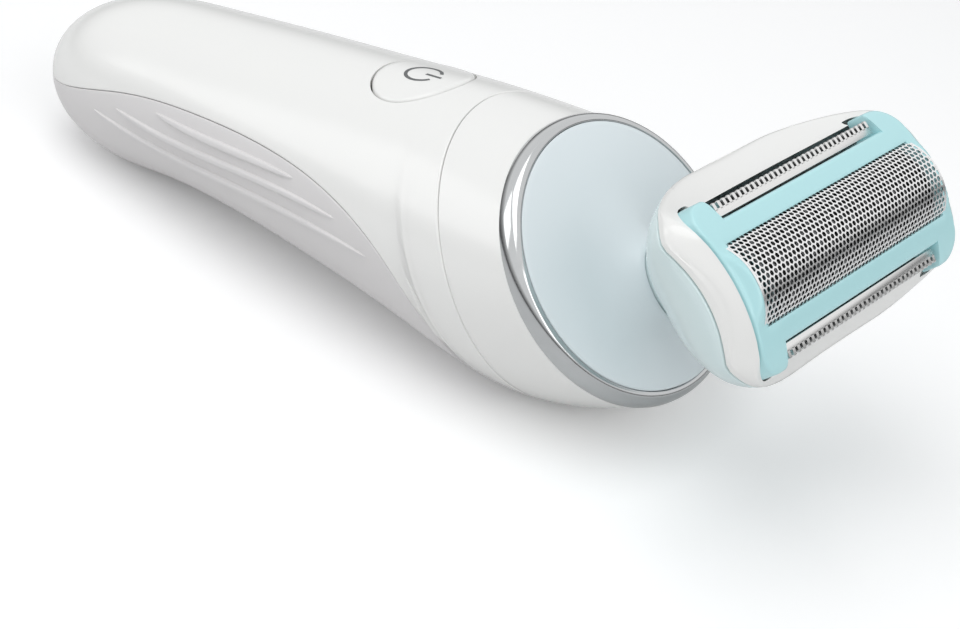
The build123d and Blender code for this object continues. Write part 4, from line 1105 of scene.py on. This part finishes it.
# %% [markdown]
# ## Floating frame
#
# The aqua frame holds the foil and both combs. Its top follows the rim's arch,
# and its four ears reach a little higher round the combs' ends. Each end wall
# carries a low seat for the foil. The loft runs from the opening's wall over the
# top to the outer wall.

# %% Floating frame
FRAME_HALF, FRAME_NOTCH, FRAME_CORNER, FRAME_FLOOR = (24.35, 11.6), (19.3, 8.45), 3.6, -5.4
FOIL_RADIUS, FOIL_HALF_LENGTH, FOIL_HALF_CHORD = 7.6, 22.0, 5.3
FOIL_AXIS = -math.sqrt(FOIL_RADIUS ** 2 - FOIL_HALF_CHORD ** 2)
EAR_START, EAR_EASE, EAR_RISE, OPENING_GAP, SLACK = 17.0, 3.0, 0.12, 0.3, 0.01
FOIL_END, SEAT_RADIUS, SEAT_SLOPE = 22.7, FOIL_RADIUS - 0.13, 1.2

frame_outline = notched_outline(FRAME_HALF, FRAME_NOTCH, FRAME_CORNER)


def frame_top(x, y):
    """Level of the frame's top: the arch with its ears, or the seat under the foil's ends."""
    ease = min(1.0, max(0.0, (abs(x) - EAR_START) / EAR_EASE))
    level = arch(y) + EAR_RISE * ease * (y / FRAME_HALF[1]) ** 2
    if abs(y) < SEAT_RADIUS and abs(x) > FOIL_HALF_LENGTH - SLACK:
        seat = FOIL_AXIS + math.sqrt(SEAT_RADIUS ** 2 - y * y)
        roof = FOIL_AXIS + SEAT_RADIUS - (abs(x) - FOIL_END) * SEAT_SLOPE
        level = max(level, min(seat, roof))
    return level


def opening_spot(spot):
    """Point of the foil opening that faces a point of the frame's outline."""
    x = max(-FOIL_HALF_LENGTH, min(FOIL_HALF_LENGTH, spot.x))
    reach = FOIL_HALF_CHORD + OPENING_GAP  # Half of the opening's width.
    y = max(-reach, min(reach, spot.y))
    if abs(spot.x) > FOIL_HALF_LENGTH and abs(spot.y) < FRAME_HALF[1] - SLACK:
        y = max(-reach, min(reach, spot.y * reach / (FRAME_HALF[1] - FRAME_CORNER)))
    return Vector((x, y, 0))


openings = [opening_spot(spot) for spot in frame_outline]


def frame_ring(kind, amount, drop=0.0, level=None):
    """Ring of the frame, a share or a distance from one border, lowered by drop or at a level."""
    def ring(turn):
        column = round(turn * len(frame_outline)) % len(frame_outline)
        spot, inner = frame_outline[column], openings[column]
        span = spot - inner
        along = amount if kind == "share" else min(1.0, amount / max(span.length, 1e-6))
        if kind == "from_outline":
            along = 1 - along
        point = inner + span * along
        z = frame_top(point.x, point.y) - drop if level is None else level
        return Vector((point.x, point.y, z))
    return ring


floor_inside = frame_ring("share", 0.0, level=FRAME_FLOOR)
frame_rings = [floor_inside, frame_ring("share", 0.0, 0.25)]
frame_rings += [frame_ring("from_opening", *row) for row in ((0.07, 0.07), (0.25, 0.0))]
frame_rings += [frame_ring("share", share) for share in (0.16, 0.25, 0.34, 0.44, 0.54, 0.64, 0.74, 0.82)]
frame_rings += [frame_ring("from_outline", *row) for row in ((0.36, 0.0), (0.18, 0.05), (0.05, 0.17))]
frame_rings += [frame_ring("share", 1.0, 0.36), frame_ring("share", 1.0, level=FRAME_FLOOR), floor_inside]
floating_frame = outwards(lofted(len(frame_outline), frame_rings))
piece("aqua_frame", floating_frame, HEAD, "foil_cassette", "frame_aqua", ["foil_frame"], sharp=40)

# %% [markdown]
# ## Foil
#
# The foil is a nickel sheet a tenth of a millimetre thick, with hexagonal
# windows in rows. One window's border is a hexagon with a smaller hexagon cut
# out. It is copied over the sheet, trimmed to a clean rectangle, and the whole
# sheet is then bent round the cutter.

# %% Foil
HOLE_PITCH, HOLE_SIZE = 0.885, 0.62
FOIL_SHEET, END_BAND, WELD_DISTANCE = 0.1, 0.4, 0.01
PERFORATED_ANGLE, WRAP_ANGLE = 47.5, 74
BEND_RADIUS = FOIL_RADIUS - 0.02

row_step = HOLE_PITCH * math.sqrt(3) / 2
half_arc = math.radians(PERFORATED_ANGLE) * FOIL_RADIUS
foil = bmesh.new()
cell = bmesh.new()
bmesh.ops.create_circle(cell, cap_ends=True, segments=6, radius=HOLE_PITCH / math.sqrt(3))
bmesh.ops.inset_individual(cell, faces=cell.faces, thickness=(HOLE_PITCH - HOLE_SIZE) / 2)
window = max(cell.faces, key=lambda face: len(face.verts))
bmesh.ops.delete(cell, geom=[window], context="FACES")
cell_mesh = to_mesh("foil_cell", cell)
rows_each_side = math.ceil(half_arc / row_step)
columns_each_side = math.ceil(FOIL_END / HOLE_PITCH) + 1
for row in range(-rows_each_side, rows_each_side + 1):
    for column in range(-columns_each_side, columns_each_side + 1):
        start = len(foil.verts)
        foil.from_mesh(cell_mesh)
        foil.verts.ensure_lookup_table()
        shift = Vector(((column + 0.5 * (row % 2)) * HOLE_PITCH, row * row_step, 0))
        bmesh.ops.translate(foil, verts=foil.verts[start:], vec=shift)
bpy.data.meshes.remove(cell_mesh)
bmesh.ops.remove_doubles(foil, verts=foil.verts, dist=WELD_DISTANCE)
for direction, reach in (((1, 0, 0), FOIL_END - END_BAND), ((-1, 0, 0), FOIL_END - END_BAND),
                         ((0, 1, 0), half_arc), ((0, -1, 0), half_arc)):
    bmesh.ops.bisect_plane(foil, geom=foil.verts[:] + foil.edges[:] + foil.faces[:],
                           plane_co=Vector(direction) * reach, plane_no=direction, clear_outer=True)


def plain_strips(columns, rows, width, depth, x, y):
    """Two strips of plain sheet, one on each side."""
    for side in (-1, 1):
        strip = bmesh.ops.create_grid(foil, x_segments=columns, y_segments=rows, size=0.5)["verts"]
        bmesh.ops.scale(foil, verts=strip, vec=(width, depth, 1))
        bmesh.ops.translate(foil, verts=strip, vec=(side * x, side * y, 0))


skirt_depth = math.radians(WRAP_ANGLE - PERFORATED_ANGLE) * FOIL_RADIUS
plain_strips(44, 8, 2 * FOIL_END, skirt_depth, 0, half_arc + skirt_depth / 2)
plain_strips(1, 48, END_BAND, 2 * half_arc, FOIL_END - END_BAND / 2, 0)
for vert in foil.verts:
    bend = vert.co.y / BEND_RADIUS
    vert.co = Vector((vert.co.x, BEND_RADIUS * math.sin(bend),
                      FOIL_AXIS + BEND_RADIUS * math.cos(bend)))
outwards(foil, (0, 0, FOIL_AXIS))
foil_sheet = piece("nickel_foil", foil, HEAD, "foil_cassette", "foil_steel", ["shaving_foil"], sharp=60)
add_wall(foil_sheet, FOIL_SHEET, 0.0)
apply_modifiers(foil_sheet, sharp=50)

# %% [markdown]
# ## Guard combs
#
# Each comb is a stamped and polished strip. A tooth is a small bar whose tip is
# rounded, copied along the strip at the real pitch.

# %% Guard combs
COMB_HALF_LENGTH, COMB_TOP, COMB_DROP, COMB_THICKNESS = 18.6, -1.84, 0.3, 0.45
COMB_ROOT, COMB_TIP, RAIL_HALF = 9.85, 10.8, 8.45
COMB_TEETH, TOOTH_WIDTH, STRIP_GAP = 34, 0.56, 0.34
TOOTH_ROOT = 0.2  # Length of a tooth that is sunk in the strip.
comb_slope = math.atan2(COMB_DROP, COMB_TIP - RAIL_HALF)
comb_pitch = (2 * COMB_HALF_LENGTH - TOOTH_WIDTH) / (COMB_TEETH - 1)


def bar(size, middle, picked, offset, segments):
    """A small bar with some of its edges rounded."""
    bm = bmesh.new()
    bmesh.ops.create_cube(bm, size=1.0)
    bmesh.ops.scale(bm, verts=bm.verts, vec=size)
    edges = [edge for edge in bm.edges if all(picked(vert) for vert in edge.verts)]
    bmesh.ops.bevel(bm, geom=edges, offset=offset, offset_type="OFFSET", segments=segments,
                    profile=0.5, affect="EDGES", material=-1)
    bmesh.ops.translate(bm, verts=bm.verts, vec=middle)
    return bm


for name, half_turn in (("upper", 0.0), ("lower", math.pi)):
    comb = bar((2 * COMB_HALF_LENGTH, COMB_ROOT - RAIL_HALF - STRIP_GAP, COMB_THICKNESS),
               (0, (COMB_ROOT - RAIL_HALF + STRIP_GAP) / 2, -COMB_THICKNESS / 2),
               lambda vert: True, 0.06, 2)
    for step in range(COMB_TEETH):
        tooth_x = -COMB_HALF_LENGTH + TOOTH_WIDTH / 2 + step * comb_pitch
        tooth_y = (COMB_ROOT + COMB_TIP - TOOTH_ROOT) / 2 - RAIL_HALF
        take_in(comb, bar((TOOTH_WIDTH, COMB_TIP - COMB_ROOT + TOOTH_ROOT, COMB_THICKNESS),
                          (tooth_x, tooth_y, -COMB_THICKNESS / 2), lambda vert: vert.co.y > 0, 0.2, 3))
    comb_place = (HEAD @ Matrix.Rotation(half_turn, 4, "Z") @ Matrix.Translation((0, RAIL_HALF, COMB_TOP))
                  @ Matrix.Rotation(-comb_slope, 4, "X"))
    piece(name + "_guard_comb", comb, comb_place, "foil_cassette", "comb_steel",
          [name + "_trimmer_guard"], sharp=30)

# %% [markdown]
# ## Room, light and camera
#
# The shaver lies on white paper. Soft boxes above it, to its left and in front
# of its head give broad highlights, and the world fills the shadows. Only the
# camera sees the paper's faint glow, which keeps it white without more light on
# the shaver. Mirrors see white walls that darken near the ground.

# %% Paper sweep
sheet = bmesh.new()
bmesh.ops.create_grid(sheet, x_segments=2, y_segments=2, size=1.5)
floor = add_object("paper_floor", to_mesh("paper_floor", sheet))
paper = bpy.data.materials.new("white_paper")
tree = blank_tree(paper)
seen = add_node(tree, "ShaderNodeLightPath")
matt = add_node(tree, "ShaderNodeBsdfDiffuse", Color=(0.80, 0.80, 0.80, 1.0))
bright = add_node(tree, "ShaderNodeBsdfDiffuse", Color=(1.0, 1.0, 1.0, 1.0))
glow = add_node(tree, "ShaderNodeEmission", Color=(1, 1, 1, 1), Strength=0.12)
both = add_node(tree, "ShaderNodeAddShader", _0=bright.outputs["BSDF"], _1=glow.outputs["Emission"])
pick = add_node(tree, "ShaderNodeMixShader", _0=seen.outputs["Is Camera Ray"], _1=matt.outputs["BSDF"],
                _2=both.outputs["Shader"])
add_node(tree, "ShaderNodeOutputMaterial", Surface=pick.outputs["Shader"])
floor.data.materials.append(paper)

# %% World and lamps
world = bpy.data.worlds.new("studio")
bpy.context.scene.world = world
tree = blank_tree(world)
seen = add_node(tree, "ShaderNodeLightPath")
mirrored = add_node(tree, "ShaderNodeMath", {"operation": "MAXIMUM"}, _0=seen.outputs["Is Glossy Ray"],
                    _1=seen.outputs["Is Transmission Ray"])
direct = add_node(tree, "ShaderNodeMath", {"operation": "MAXIMUM"}, _0=seen.outputs["Is Camera Ray"],
                  _1=mirrored.outputs["Value"])
fill = add_node(tree, "ShaderNodeBackground", Color=(0.97, 0.985, 1.0, 1.0), Strength=0.5)
heading = add_node(tree, "ShaderNodeTexCoord")
rise = add_node(tree, "ShaderNodeSeparateXYZ", Vector=heading.outputs["Generated"])
walls = add_node(tree, "ShaderNodeMapRange", Value=rise.outputs["Z"], From_Min=0.02, From_Max=0.30,
                 To_Min=0.08)
behind = add_node(tree, "ShaderNodeMath", {"operation": "MAXIMUM"}, _0=walls.outputs["Result"],
                  _1=seen.outputs["Is Camera Ray"])
white = add_node(tree, "ShaderNodeBackground", Color=(1, 1, 1, 1), Strength=behind.outputs["Value"])
pick = add_node(tree, "ShaderNodeMixShader", _0=direct.outputs["Value"], _1=fill.outputs["Background"],
                _2=white.outputs["Background"])
add_node(tree, "ShaderNodeOutputWorld", Surface=pick.outputs["Shader"])


def soft_box(name, place, target, size, power):
    """Rectangular lamp that looks at a target."""
    lamp = bpy.data.lights.new(name, "AREA")
    lamp.shape = "RECTANGLE"
    lamp.size, lamp.size_y = size
    lamp.energy = power
    obj = add_object(name, lamp)
    obj.location = place
    obj.rotation_euler = (Vector(target) - Vector(place)).to_track_quat("-Z", "Y").to_euler()


soft_box("top_box", (-0.05, -0.10, 0.55), (0.0, 0.0, 0.0), (0.5, 0.4), 1.05)
soft_box("left_box", (-0.45, -0.35, 0.35), (0.0, 0.0, 0.02), (0.35, 0.35), 0.55)
soft_box("front_box", (0.55, -0.15, 0.38), (0.05, 0.0, 0.03), (0.4, 0.4), 0.85)
print("lamps in watts: 1.05 above, 0.55 at the left, 0.85 in front")

# %% [markdown]
# The camera is a 75 mm lens, a little above the shaver and in front of its head,
# which shows the foil, the end face and the whole handle at once.

# %% Camera
camera_place = HANDLE @ Vector((267.14, -210.62, 100.14))
look = (HANDLE.to_3x3() @ Vector((-0.57376, 0.68742, -0.44526))).normalized()
right = (HANDLE.to_3x3() @ Vector((0.76772, 0.64078, 0.0))).normalized()
camera_up = right.cross(look).normalized()
camera_data = bpy.data.cameras.new("camera")
camera_data.lens, camera_data.sensor_width = 75.0, 36.0
camera_data.clip_start, camera_data.clip_end = 0.01, 10.0
camera = add_object("camera", camera_data)
camera.matrix_world = frame_matrix(camera_place, right, camera_up, -look)
bpy.context.scene.camera = camera
bpy.context.scene.view_settings.view_transform = "Standard"
print("camera at", camera_place)

# %% A last import
import json
